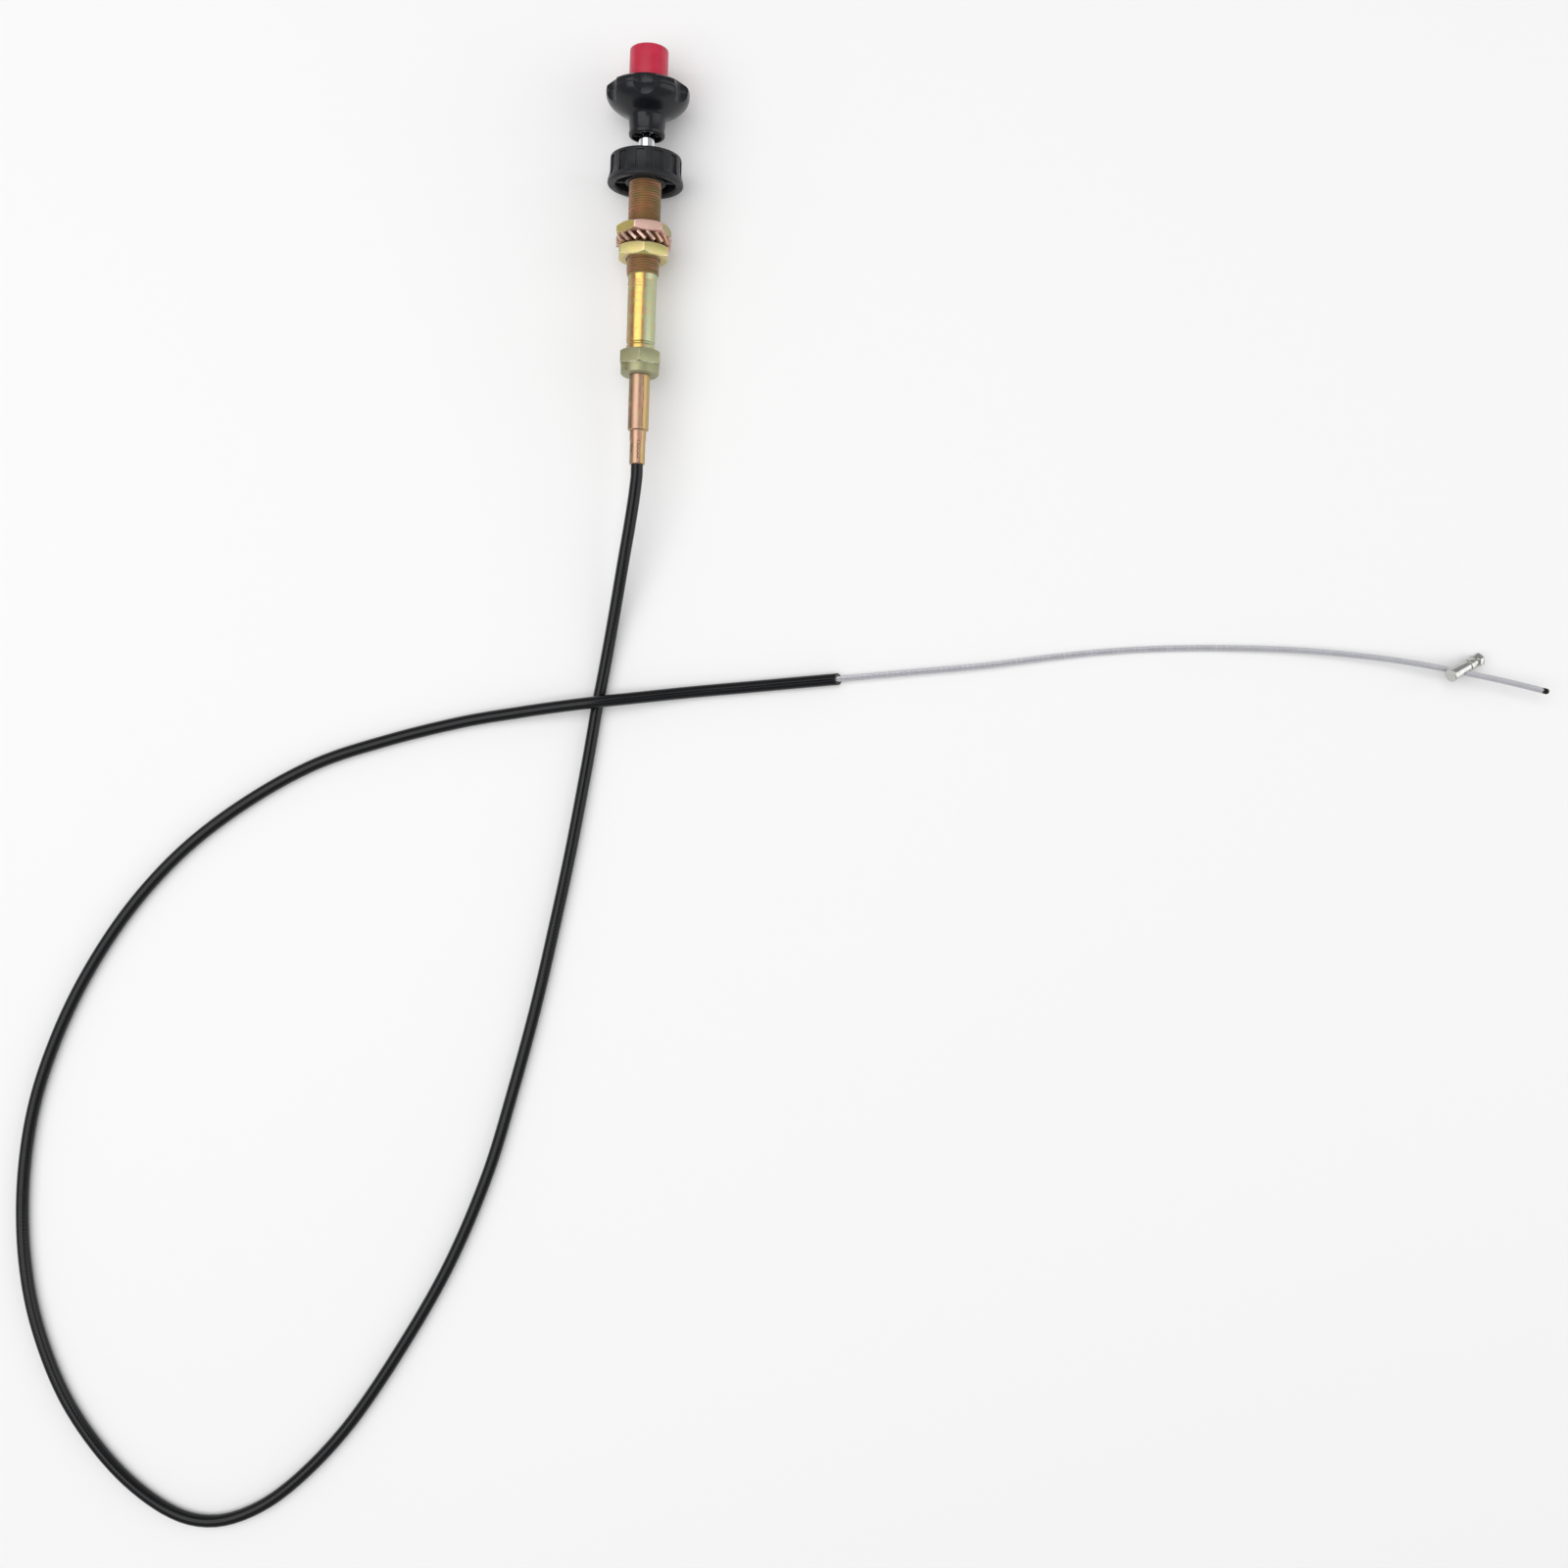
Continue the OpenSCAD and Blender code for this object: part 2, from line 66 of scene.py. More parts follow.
Outline = Sequence[tuple[float, ...]]
Spot = tuple[float, float, float]
Colour = tuple[float, float, float]
Piece = bpy.types.Object
Socket = bpy.types.NodeSocket


class Cut(Enum):
    """How one solid is combined with another."""

    AWAY = "DIFFERENCE"
    COMMON = "INTERSECT"
    JOIN = "UNION"


# --- lines and outlines


def smooth_route(route: Sequence[Sequence[float]], pitch: float) -> list[Vector]:
    """Run one smooth curve through a list of points.

    Args:
        route: The points, in the order that the curve passes them.
        pitch: The greatest distance between two points of the result.

    Returns:
        Points along the curve, its first and last being the route's own.
    """
    knots = [Vector(point) for point in route]
    knots = [2 * knots[0] - knots[1], *knots, 2 * knots[-1] - knots[-2]]
    points = []
    for a, b, c, d in zip(knots, knots[1:], knots[2:], knots[3:]):
        steps = max(1, math.ceil((c - b).length / pitch))
        square, cube = 2 * a - 5 * b + 4 * c - d, 3 * b - a - 3 * c + d
        for t in (step / steps for step in range(steps)):
            points.append(0.5 * (2 * b + (c - a) * t + square * t * t + cube * t**3))
    return [*points, knots[-2]]


def eased(outline: Outline, steps: int = 4) -> list[tuple[float, float]]:
    """Round the corners of a closed outline.

    Args:
        outline: Corners of (radius, station), each with an optional third number, its rounding.
        steps: The number of short edges in each rounded corner.

    Returns:
        The outline's points with the rounded corners drawn out.
    """
    points: list[tuple[float, float]] = []
    for index, corner in enumerate(outline):
        here = Vector(corner[:2])
        if len(corner) < 3:
            points.append((here.x, here.y))
            continue
        back = Vector(outline[index - 1][:2]) - here
        onward = Vector(outline[(index + 1) % len(outline)][:2]) - here
        reach = min(corner[2], CORNER_REACH * back.length, CORNER_REACH * onward.length)
        start, end = here + back.normalized() * reach, here + onward.normalized() * reach
        for step in range(steps + 1):
            t = step / steps
            point = start.lerp(here, t).lerp(here.lerp(end, t), t)
            points.append((point.x, point.y))
    return points


# --- modelling


def clear_selection() -> None:
    """Go to object mode and deselect everything."""
    if bpy.context.object and bpy.context.object.mode != "OBJECT":
        bpy.ops.object.mode_set(mode="OBJECT")
    bpy.ops.object.select_all(action="DESELECT")


def pick(piece: Piece) -> None:
    """Make one piece the only one selected, and active.

    Args:
        piece: The piece.
    """
    clear_selection()
    piece.select_set(True)
    bpy.context.view_layer.objects.active = piece


def select_vertices(piece: Piece, wanted: Callable[[bmesh.types.BMVert], bool]) -> None:
    """Select vertices of the piece in edit mode by their place.

    Args:
        piece: The piece that is being edited.
        wanted: Tells whether a vertex is to be selected.
    """
    bpy.ops.mesh.select_mode(type="VERT")
    bpy.ops.mesh.select_all(action="DESELECT")
    mesh = bmesh.from_edit_mesh(piece.data)
    for vertex in mesh.verts:
        vertex.select_set(wanted(vertex))
    mesh.select_flush(True)
    bmesh.update_edit_mesh(piece.data)


def drawn(name: str, outline: Outline) -> Piece:
    """Draw a chain of edges in the XZ plane, and stay in edit mode.

    Args:
        name: The new piece's name.
        outline: The chain's (radius, station) points, in millimetres.

    Returns:
        The piece, with only the chain in it.
    """
    clear_selection()
    bpy.ops.mesh.primitive_plane_add(size=MM)
    piece = bpy.context.object
    piece.name = name
    bpy.ops.object.mode_set(mode="EDIT")
    bpy.ops.mesh.select_all(action="SELECT")
    bpy.ops.mesh.merge(type="CENTER")
    bpy.ops.transform.translate(value=(outline[0][0] * MM, 0.0, outline[0][1] * MM))
    for here, there in zip(outline, outline[1:]):
        step = ((there[0] - here[0]) * MM, 0.0, (there[1] - here[1]) * MM)
        bpy.ops.mesh.extrude_vertices_move(TRANSFORM_OT_translate={"value": step})
    return piece


def turned(name: str, outline: Outline, segments: int = 96) -> Piece:
    """Turn a piece on the lathe: draw half of its section and spin it about local Z.

    Args:
        name: The new piece's name.
        outline: The section's (radius, station) points in millimetres. It is closed by itself,
            unless it starts and ends on the axis.
        segments: The number of steps in the full turn.

    Returns:
        The closed piece.
    """
    piece = drawn(name, outline)
    if outline[0][0] > 0 or outline[-1][0] > 0:
        last = len(outline) - 1
        select_vertices(piece, lambda vertex: vertex.index in (0, last))
        bpy.ops.mesh.edge_face_add()
    bpy.ops.mesh.select_all(action="SELECT")
    bpy.ops.mesh.spin(steps=segments, angle=math.tau, center=(0.0, 0.0, 0.0), axis=UP)
    tidy_shell()
    return piece


def tidy_shell() -> None:
    """Merge the edited mesh's doubles, turn its faces outwards and leave edit mode."""
    bpy.ops.mesh.select_all(action="SELECT")
    bpy.ops.mesh.remove_doubles(threshold=2e-7)
    bpy.ops.mesh.dissolve_degenerate(threshold=1e-8)
    bpy.ops.mesh.select_all(action="SELECT")
    bpy.ops.mesh.normals_make_consistent(inside=False)
    bpy.ops.object.mode_set(mode="OBJECT")


def bar(
    name: str, low: float, high: float, radius: float, sides: int = 64, turn: float = 0.0
) -> Piece:
    """Make a round or many-sided bar about local Z.

    Args:
        name: The bar's name.
        low: Station of its lower end, in millimetres.
        high: Station of its upper end.
        radius: Radius over its corners.
        sides: The number of its sides.
        turn: Azimuth of its first corner, in degrees from local X.

    Returns:
        The bar.
    """
    clear_selection()
    bpy.ops.mesh.primitive_cylinder_add(
        vertices=sides,
        radius=radius * MM,
        depth=(high - low) * MM,
        location=(0.0, 0.0, (high + low) / 2 * MM),
        rotation=(0.0, 0.0, math.radians(turn - 90.0)),
    )
    piece = bpy.context.object
    piece.name = name
    bake_place(piece)
    return piece


def block(name: str, size: Sequence[float], centre: Sequence[float]) -> Piece:
    """Make a block.

    Args:
        name: The block's name.
        size: Its three sides, in millimetres.
        centre: Its middle, in millimetres.

    Returns:
        The block.
    """
    clear_selection()
    bpy.ops.mesh.primitive_cube_add(size=MM, location=Vector(centre) * MM)
    piece = bpy.context.object
    piece.name = name
    piece.scale = size
    bake_place(piece)
    return piece


def bake_place(piece: Piece, onward: Matrix | None = None) -> Piece:
    """Put a piece's place into its mesh, and leave its object at the origin.

    Args:
        piece: The piece.
        onward: A further move that is made after the piece's own place.

    Returns:
        The same piece.
    """
    place = piece.matrix_basis.copy()
    piece.data.transform(place if onward is None else onward @ place)
    piece.matrix_basis = Matrix.Identity(4)
    piece.data.update()
    return piece


def aimed(spot: Vector, way: Vector) -> Matrix:
    """Return the place at a spot in millimetres with local Z along a way."""
    return Matrix.Translation(spot * MM) @ way.to_track_quat("Z", "Y").to_matrix().to_4x4()


def apply_modifiers(piece: Piece) -> Piece:
    """Apply every modifier of a piece, in order.

    Args:
        piece: The piece.

    Returns:
        The same piece.
    """
    pick(piece)
    for modifier in list(piece.modifiers):
        bpy.ops.object.modifier_apply(modifier=modifier.name)
    return piece


def combine(piece: Piece, tools: Iterable[Piece], cut: Cut) -> Piece:
    """Cut a piece with tools, or join them to it, and use the tools up.

    Args:
        piece: The piece that is worked on.
        tools: The tool solids, which are removed.
        cut: How they are combined.

    Returns:
        The worked piece.
    """
    for tool in tools:
        modifier = piece.modifiers.new("work", "BOOLEAN")
        modifier.operation = cut.value
        modifier.solver = "EXACT"
        modifier.object = tool
        apply_modifiers(piece)
        bpy.data.meshes.remove(tool.data)
    return piece


def join(piece: Piece, others: Iterable[Piece]) -> Piece:
    """Join separate shells into one piece.

    Args:
        piece: The piece that keeps its name.
        others: The pieces that become part of it.

    Returns:
        The joined piece.
    """
    others = list(others)
    pick(piece)
    for other in others:
        other.select_set(True)
    bpy.ops.object.join()
    return piece


def copies_round(piece: Piece, count: int, start: float = 0.0) -> list[Piece]:
    """Copy a piece round local Z, each copy with its own mesh.

    Args:
        piece: The first piece, which is used up.
        count: How many there are in all.
        start: Azimuth that the first is turned by, in degrees.
        start: Azimuth that the first is turned by, in degrees.

    Returns:
        The pieces, spread over the full turn, with their places in their meshes.
    """
    made = []
    for index in range(count):
        copy = piece.copy()
        copy.data = piece.data.copy()
        bpy.context.collection.objects.link(copy)
        turn = math.radians(start + index * (360.0 / count))
        made.append(bake_place(copy, Matrix.Rotation(turn, 4, "Z")))
    bpy.data.meshes.remove(piece.data)
    return made


def soften(piece: Piece, width: float, angle: float = 30.0, segments: int = 2) -> Piece:
    """Break a piece's sharp edges with a small round.

    Args:
        piece: The piece.
        width: Width of the round, in millimetres.
        angle: Edges sharper than this many degrees are rounded.
        segments: The number of facets across the round.

    Returns:
        The same piece.
    """
    modifier = piece.modifiers.new("edge", "BEVEL")
    modifier.width = width * MM
    modifier.segments = segments
    modifier.limit_method = "ANGLE"
    modifier.angle_limit = math.radians(angle)
    return apply_modifiers(piece)


def smooth(piece: Piece, angle: float = 32.0) -> Piece:
    """Shade a piece smooth, save across its sharp edges.

    Args:
        piece: The piece.
        angle: Edges sharper than this many degrees stay sharp.

    Returns:
        The same piece.
    """
    pick(piece)
    bpy.ops.object.shade_smooth_by_angle(angle=math.radians(angle))
    return piece


def swept(name: str, points: Sequence[Vector], radii: Sequence[float], sides: int) -> Piece:
    """Sweep a round section along a line, as a cord's jacket or strand runs.

    The piece's UV map gives the share of the way round and the metres along the line.

    Args:
        name: The new piece's name.
        points: The line's points, in metres.
        radii: The section's radius at each point, in metres.
        sides: The number of sides round the section.

    Returns:
        The closed piece.
    """
    mesh = bpy.data.meshes.new(name)
    corners, faces, marks = [], [], []
    along = 0.0
    side = Vector((1.0, 0.0, 0.0))
    for index, point in enumerate(points):
        before, after = points[max(0, index - 1)], points[min(len(points) - 1, index + 1)]
        way = after - before
        moves = way.length > SAME_SPOT
        if moves:
            way.normalize()
            level = UP.cross(way)
            side = level.normalized() if level.length > 1e-6 else side
        up = way.cross(side).normalized() if moves else UP
        along += (point - before).length if index else 0.0
        for k in range(sides):
            turn = math.tau * k / sides
            corners.append(point + radii[index] * (math.cos(turn) * side + math.sin(turn) * up))
        marks.append(along)
    last = (len(points) - 1) * sides
    for ring in range(0, last, sides):
        for k in range(sides):
            here, beside = ring + k, ring + (k + 1) % sides
            faces.append((here, here + sides, beside + sides, beside))
    faces.append(tuple(range(sides)))
    faces.append(tuple(last + k for k in reversed(range(sides))))
    mesh.from_pydata(corners, [], faces)
    layer = mesh.uv_layers.new(name="run")
    for polygon in mesh.polygons:
        turns = [mesh.loops[loop].vertex_index % sides for loop in polygon.loop_indices]
        wraps = max(turns) - min(turns) > sides // 2 and len(turns) == 4
        for loop, k in zip(polygon.loop_indices, turns):
            ring = mesh.loops[loop].vertex_index // sides
            layer.data[loop].uv = ((k + (sides if wraps and k == 0 else 0)) / sides, marks[ring])
    piece = bpy.data.objects.new(name, mesh)
    bpy.context.collection.objects.link(piece)
    pick(piece)
    bpy.ops.object.mode_set(mode="EDIT")
    bpy.ops.mesh.select_all(action="SELECT")
    bpy.ops.mesh.normals_make_consistent(inside=False)
    bpy.ops.object.mode_set(mode="OBJECT")
    return piece


# --- shader nodes


class Desk:
    """Puts nodes into one shader tree and joins them."""

    def __init__(self, tree: bpy.types.NodeTree) -> None:
        """Keep the tree that the nodes go into."""
        self.tree = tree

    def put(
        self, kind: str, inputs: dict[str | int, object] | None = None, **settings: object
    ) -> bpy.types.Node:
        """Add one node.

        Args:
            kind: The node's type.
            inputs: Values or other nodes' outputs for its sockets, by name or place.
            settings: The node's own properties.

        Returns:
            The node.
        """
        node = self.tree.nodes.new(kind)
        for key, value in settings.items():
            setattr(node, key, value)
        for key, value in (inputs or {}).items():
            if isinstance(value, Socket):
                self.tree.links.new(value, node.inputs[key])
            else:
                node.inputs[key].default_value = value
        return node

    def math(self, operation: str, first: object, second: object = 0.0) -> Socket:
        """Add a Math node and return its output."""
        return self.put("ShaderNodeMath", {0: first, 1: second}, operation=operation).outputs[0]

    def spread(
        self,
        value: Socket,
        low: object,
        high: object,
        to_low: object = 0.0,
        to_high: object = 1.0,
        **settings: object,
    ) -> Socket:
        """Bring a value from one range to another, by a clamped Map Range node.

        Args:
            value: The value.
            low: The start of the range that it comes from.
            high: The end of that range.
            to_low: The start of the range that it goes to.
            to_high: The end of that range.
            settings: The node's own properties.

        Returns:
            The result's socket.
        """
        ends = {"From Min": low, "From Max": high, "To Min": to_low, "To Max": to_high}
        node = self.put("ShaderNodeMapRange", {"Value": value, **ends}, clamp=True, **settings)
        return node.outputs["Result"]

    def blend(self, share: object, first: object, second: object) -> Socket:
        """Mix two colours.

        Args:
            share: How much of the second colour there is.
            first: The first colour.
            second: The second colour.

        Returns:
            The mixed colour's socket.
        """
        first, second = (c if isinstance(c, Socket) else (*c, 1.0) for c in (first, second))
        inputs = {0: share, 6: first, 7: second}
        return self.put("ShaderNodeMix", inputs, data_type="RGBA").outputs[2]

    def noise(
        self, vector: Socket, scale: object, detail: float = 3.0, rough: float = 0.55
    ) -> Socket:
        """Add a Noise Texture and return its factor."""
        inputs = {"Vector": vector, "Scale": scale, "Detail": detail, "Roughness": rough}
        return self.put("ShaderNodeTexNoise", inputs).outputs["Fac"]


class Group(Desk):
    """A shader node group that is being built."""

    def __init__(self, name: str, inputs: dict[str, str], outputs: dict[str, str]) -> None:
        """Start the group with its sockets.

        Args:
            name: The group's name.
            inputs: Its inputs, each with its socket's type.
            outputs: Its outputs, each with its socket's type.
        """
        super().__init__(bpy.data.node_groups.new(name, "ShaderNodeTree"))
        for way, sockets in (("INPUT", inputs), ("OUTPUT", outputs)):
            for label, kind in sockets.items():
                self.tree.interface.new_socket(label, in_out=way, socket_type=kind)
        self.given = self.put("NodeGroupInput").outputs
        self.results = self.put("NodeGroupOutput").inputs

    def give(self, label: str, value: Socket) -> None:
        """Join one of the group's outputs."""
        self.tree.links.new(value, self.results[label])


NUMBER, VECTOR, TINT = "NodeSocketFloat", "NodeSocketVector", "NodeSocketColor"
TINTS = ("Left", "Middle", "Right", "Line", "Cloud", "Streak")


def edge_wear_and_highlight_group() -> bpy.types.NodeTree:
    """Build the group that finds edges, for worn edges and painted edge highlights.

    Returns:
        A group with inputs Vector, Width and Fineness, and the output Mask.
    """
    inputs = {"Vector": VECTOR, "Width": NUMBER, "Fineness": NUMBER}
    group = Group("edge wear and highlight", inputs, {"Mask": NUMBER})
    rounded = group.put("ShaderNodeBevel", {"Radius": group.given["Width"]}, samples=4)
    plain = group.put("ShaderNodeNewGeometry")
    normals = {0: rounded.outputs["Normal"], 1: plain.outputs["Normal"]}
    facing = group.put("ShaderNodeVectorMath", normals, operation="DOT_PRODUCT")
    edge = group.spread(facing.outputs["Value"], 0.992, 0.92)
    cloud = group.noise(group.given["Vector"], group.given["Fineness"], 5.0)
    group.give("Mask", group.math("MULTIPLY", edge, group.spread(cloud, 0.36, 0.56, 0.3)))
    return group.tree


def patches_group() -> bpy.types.NodeTree:
    """Build the group of soft cloudy patches.

    Returns:
        A group with inputs Vector, Scale, Low and High, and the output Value between Low and High.
    """
    inputs = {"Vector": VECTOR, "Scale": NUMBER, "Low": NUMBER, "High": NUMBER}
    group = Group("soft patches", inputs, {"Value": NUMBER})
    cloud = group.noise(group.given["Vector"], group.given["Scale"], 4.0, 0.6)
    group.give("Value", group.spread(cloud, 0.32, 0.68, group.given["Low"], group.given["High"]))
    return group.tree


def grain_group() -> bpy.types.NodeTree:
    """Build the group of fine surface grain.

    Returns:
        A group with inputs Vector, Scale and Specks, and the outputs Height and Specks.
    """
    inputs = {"Vector": VECTOR, "Scale": NUMBER, "Specks": NUMBER}
    group = Group("fine grain", inputs, {"Height": NUMBER, "Specks": NUMBER})
    vector, scale = group.given["Vector"], group.given["Scale"]
    fine = group.noise(vector, scale, 6.0, 0.62)
    cells = group.put("ShaderNodeTexVoronoi", {"Vector": vector, "Scale": scale}, feature="F1")
    dots = group.math("LESS_THAN", cells.outputs["Distance"], group.given["Specks"])
    group.give("Height", group.math("SUBTRACT", fine, group.math("MULTIPLY", dots, 0.35)))
    group.give("Specks", dots)
    return group.tree


def plating_and_painted_light_group() -> bpy.types.NodeTree:
    """Build the group of yellow zinc plating's rainbow tints, with painted light and shade.

    The colour turns with the side that a surface faces: one tint on the left, one in the
    middle and one on the right of two borders, with a dark line at each border. The side tints are
    partly the film's own colour and partly painted highlight and shade: a brighter band and darker
    sides, as the lights fall. The dark line at each border is a painted dark reflection. Clouds
    and streaks of two more tints drift over all of it.

    Returns:
        A group with the inputs below and the output Color.
    """
    inputs = {"Vector": VECTOR, "Facing": VECTOR, **dict.fromkeys(TINTS, TINT)}
    numbers = ("First", "Second", "Soft", "Lines", "Clouds", "Streaks", "Across")
    group = Group("plating tints and painted light", inputs | dict.fromkeys(numbers, NUMBER), {"Color": TINT})
    given = group.given
    aside = group.put("ShaderNodeSeparateXYZ", {"Vector": given["Facing"]}).outputs["X"]
    drift = group.spread(group.noise(given["Vector"], 60.0), 0.3, 0.7, -0.05, 0.05)
    aside = group.math("ADD", aside, drift)
    before = group.math("MULTIPLY", given["Soft"], -1.0)
    # Painted light: the left, middle and right tints are partly film colour, partly painted
    # highlight and shade.
    colour = given["Left"]
    for border, tint in (("First", "Middle"), ("Second", "Right")):
        past = group.math("SUBTRACT", aside, given[border])
        share = group.spread(past, before, given["Soft"], interpolation_type="SMOOTHSTEP")
        colour = group.blend(share, colour, given[tint])
        # Painted shade: a dark line at each border, a painted dark reflection.
        line = group.spread(group.math("ABSOLUTE", past), 0.02, 0.12, 1.0, 0.0)
        colour = group.blend(group.math("MULTIPLY", line, given["Lines"]), colour, given["Line"])
    cloud = group.spread(group.noise(given["Vector"], 210.0, 4.0, 0.6), 0.45, 0.68)
    colour = group.blend(group.math("MULTIPLY", cloud, given["Clouds"]), colour, given["Cloud"])
    stretch = group.put("ShaderNodeCombineXYZ", {"X": 70.0, "Y": given["Across"], "Z": 70.0})
    factors = {0: given["Vector"], 1: stretch.outputs["Vector"]}
    wound = group.put("ShaderNodeVectorMath", factors, operation="MULTIPLY").outputs["Vector"]
    streak = group.spread(group.noise(wound, 1.0), 0.52, 0.66)
    colour = group.blend(group.math("MULTIPLY", streak, given["Streaks"]), colour, given["Streak"])
    group.give("Color", colour)
    return group.tree


def winding_group() -> bpy.types.NodeTree:
    """Build the group of lines that wind along a cord or strand.

    Returns:
        A group with inputs Run (the UV map), Starts and Pitch, and the output Height.
    """
    inputs = {"Run": VECTOR, "Starts": NUMBER, "Pitch": NUMBER}
    group = Group("winding lines", inputs, {"Height": NUMBER})
    run = group.put("ShaderNodeSeparateXYZ", {"Vector": group.given["Run"]}).outputs
    along = group.math("DIVIDE", run["Y"], group.given["Pitch"])
    around = group.math("MULTIPLY", run["X"], group.given["Starts"])
    phase = group.math("MULTIPLY", group.math("ADD", along, around), math.tau)
    group.give("Height", group.spread(group.math("SINE", phase), -1.0, 1.0))
    return group.tree


class Effects:
    """The shader groups that several finishes share, each built once."""

    def __init__(self) -> None:
        """Build every group."""
        self.edge_wear_and_highlight = edge_wear_and_highlight_group()
        self.patches = patches_group()
        self.grain = grain_group()
        self.plating = plating_and_painted_light_group()
        self.winding = winding_group()


class Bench:
    """Holds one material while its nodes are put in."""

    def __init__(self, name: str, effects: Effects) -> None:
        """Start a material with a plain surface shader.

        Args:
            name: The material's name.
            effects: The shared shader groups.
        """
        self.material = bpy.data.materials.new(name)
        self.material.use_nodes = True
        self.desk = Desk(self.material.node_tree)
        self.effects = effects
        self.surface = self.material.node_tree.nodes["Principled BSDF"]
        place = self.desk.put("ShaderNodeTexCoord")
        self.spot = place.outputs["Object"]
        self.facing = place.outputs["Normal"]
        self.run = place.outputs["UV"]

    def group(self, tree: bpy.types.NodeTree, **inputs: object) -> bpy.types.Node:
        """Place a shared group in the material with its own values."""
        return self.desk.put("ShaderNodeGroup", inputs, node_tree=tree)

    def wear(self, width: float, fineness: float) -> Socket:
        """Return the mask of edges, of a width in millimetres, for wear and painted edge
        highlights.
        """
        given = {"Vector": self.spot, "Width": width * MM, "Fineness": fineness}
        return self.group(self.effects.edge_wear_and_highlight, **given).outputs["Mask"]

    def patches(self, scale: float, low: float, high: float) -> Socket:
        """Return a cloudy value between low and high."""
        given = {"Vector": self.spot, "Scale": scale, "Low": low, "High": high}
        return self.group(self.effects.patches, **given).outputs["Value"]

    def grain(self, scale: float, specks: float) -> bpy.types.Node:
        """Place the fine grain group and return it."""
        return self.group(self.effects.grain, Vector=self.spot, Scale=scale, Specks=specks)

    def relief(self, height: Socket, depth: float, strength: float) -> Socket:
        """Turn a height into a bumped normal.

        Args:
            height: The height, from 0 to 1.
            depth: What a height of 1 stands for, in millimetres.
            strength: How much of the relief is kept.

        Returns:
            The normal's socket.
        """
        inputs = {"Height": height, "Distance": depth * MM, "Strength": strength}
        return self.desk.put("ShaderNodeBump", inputs).outputs["Normal"]

    def finish(self, constants: dict[str, float], **links: Socket) -> None:
        """Set the shader's constants and join what varies over the surface.

        Args:
            constants: Plain numbers for the shader's sockets.
            links: Outputs for the sockets Base_Color, Roughness and Normal.
        """
        for key, value in constants.items():
            self.surface.inputs[key].default_value = value
        for key, value in links.items():
            self.desk.tree.links.new(value, self.surface.inputs[key.replace("_", " ")])


# --- finishes


@dataclass(frozen=True)
class Plating:
    """Yellow zinc plating on turned or milled steel; its rainbow tints are partly painted light."""

    name: str
    left: Colour
    middle: Colour
    right: Colour
    # line is the colour of the painted dark line at each tint border, and of the real specks.
    line: Colour
    cloud: Colour
    streak: Colour
    edge: Colour
    borders: tuple[float, float] = (-0.5, 0.2)
    soft: float = 0.12
    # lines is the strength of the painted dark border lines.
    lines: float = 0.0
    clouds: float = 0.5
    streaks: float = 0.25
    across: float = 500.0
    rough: tuple[float, float] = (0.3, 0.42)
    edge_width: float = 0.22
    metallic: float = 0.85

    def build(self, bench: Bench) -> None:
        """Put the finish's nodes into its material.

        Args:
            bench: The bench with the material.
        """
        colours = {tint: (*getattr(self, tint.lower()), 1.0) for tint in TINTS}
        names = ("Soft", "Lines", "Clouds", "Streaks", "Across")
        numbers = {name: getattr(self, name.lower()) for name in names}
        numbers |= {"First": self.borders[0], "Second": self.borders[1]}
        given = {"Vector": bench.spot, "Facing": bench.facing, **colours, **numbers}
        film = bench.group(bench.effects.plating, **given)
        # Edge colour: partly worn plating, partly a painted highlight along the edges.
        worn = bench.wear(self.edge_width, 700.0)
        colour = bench.desk.blend(worn, film.outputs["Color"], self.edge)
        grain = bench.grain(5200.0, 0.12)
        specks = bench.desk.math("MULTIPLY", grain.outputs["Specks"], 0.15)
        colour = bench.desk.blend(specks, colour, self.line)
        bench.finish(
            {"Metallic": self.metallic, "Specular IOR Level": 0.3},
            Base_Color=colour,
            Roughness=bench.patches(420.0, *self.rough),
            Normal=bench.relief(grain.outputs["Height"], 0.012, 0.6),
        )


@dataclass(frozen=True)
class Moulding:
    """Moulded plastic with a fine spark texture, dull patches and rubbed edges."""

    name: str
    body: Colour
    edge: Colour
    rough: tuple[float, float]
    texture: float = 2600.0
    depth: float = 0.012
    shine: float = 0.5

    def build(self, bench: Bench) -> None:
        """Put the finish's nodes into its material.

        Args:
            bench: The bench with the material.
        """
        desk = bench.desk
        lighter = tuple(min(1.0, channel * 1.35 + 0.004) for channel in self.body)
        colour = desk.blend(bench.patches(180.0, 0.0, 0.55), self.body, lighter)
        colour = desk.blend(desk.math("MULTIPLY", bench.wear(0.3, 500.0), 0.55), colour, self.edge)
        grain = bench.grain(self.texture, 0.09)
        bench.finish(
            {"Specular IOR Level": self.shine},
            Base_Color=colour,
            Roughness=bench.patches(240.0, *self.rough),
            Normal=bench.relief(grain.outputs["Height"], self.depth, 0.7),
        )


@dataclass(frozen=True)
class BareMetal:
    """Bare, polished or chromed metal with faint turning lines and smudges."""

    name: str
    body: Colour
    dull: Colour
    rough: tuple[float, float]
    line_scale: float = 3000.0
    depth: float = 0.004

    def build(self, bench: Bench) -> None:
        """Put the finish's nodes into its material.

        Args:
            bench: The bench with the material.
        """
        desk = bench.desk
        colour = desk.blend(bench.patches(350.0, 0.0, 0.6), self.body, self.dull)
        worn = desk.math("MULTIPLY", bench.wear(0.15, 900.0), 0.4)
        colour = desk.blend(worn, colour, (0.9, 0.9, 0.9))
        grain = bench.grain(self.line_scale, 0.08)
        bench.finish(
            {"Metallic": 1.0},
            Base_Color=colour,
            Roughness=bench.patches(500.0, *self.rough),
            Normal=bench.relief(grain.outputs["Height"], self.depth, 0.5),
        )


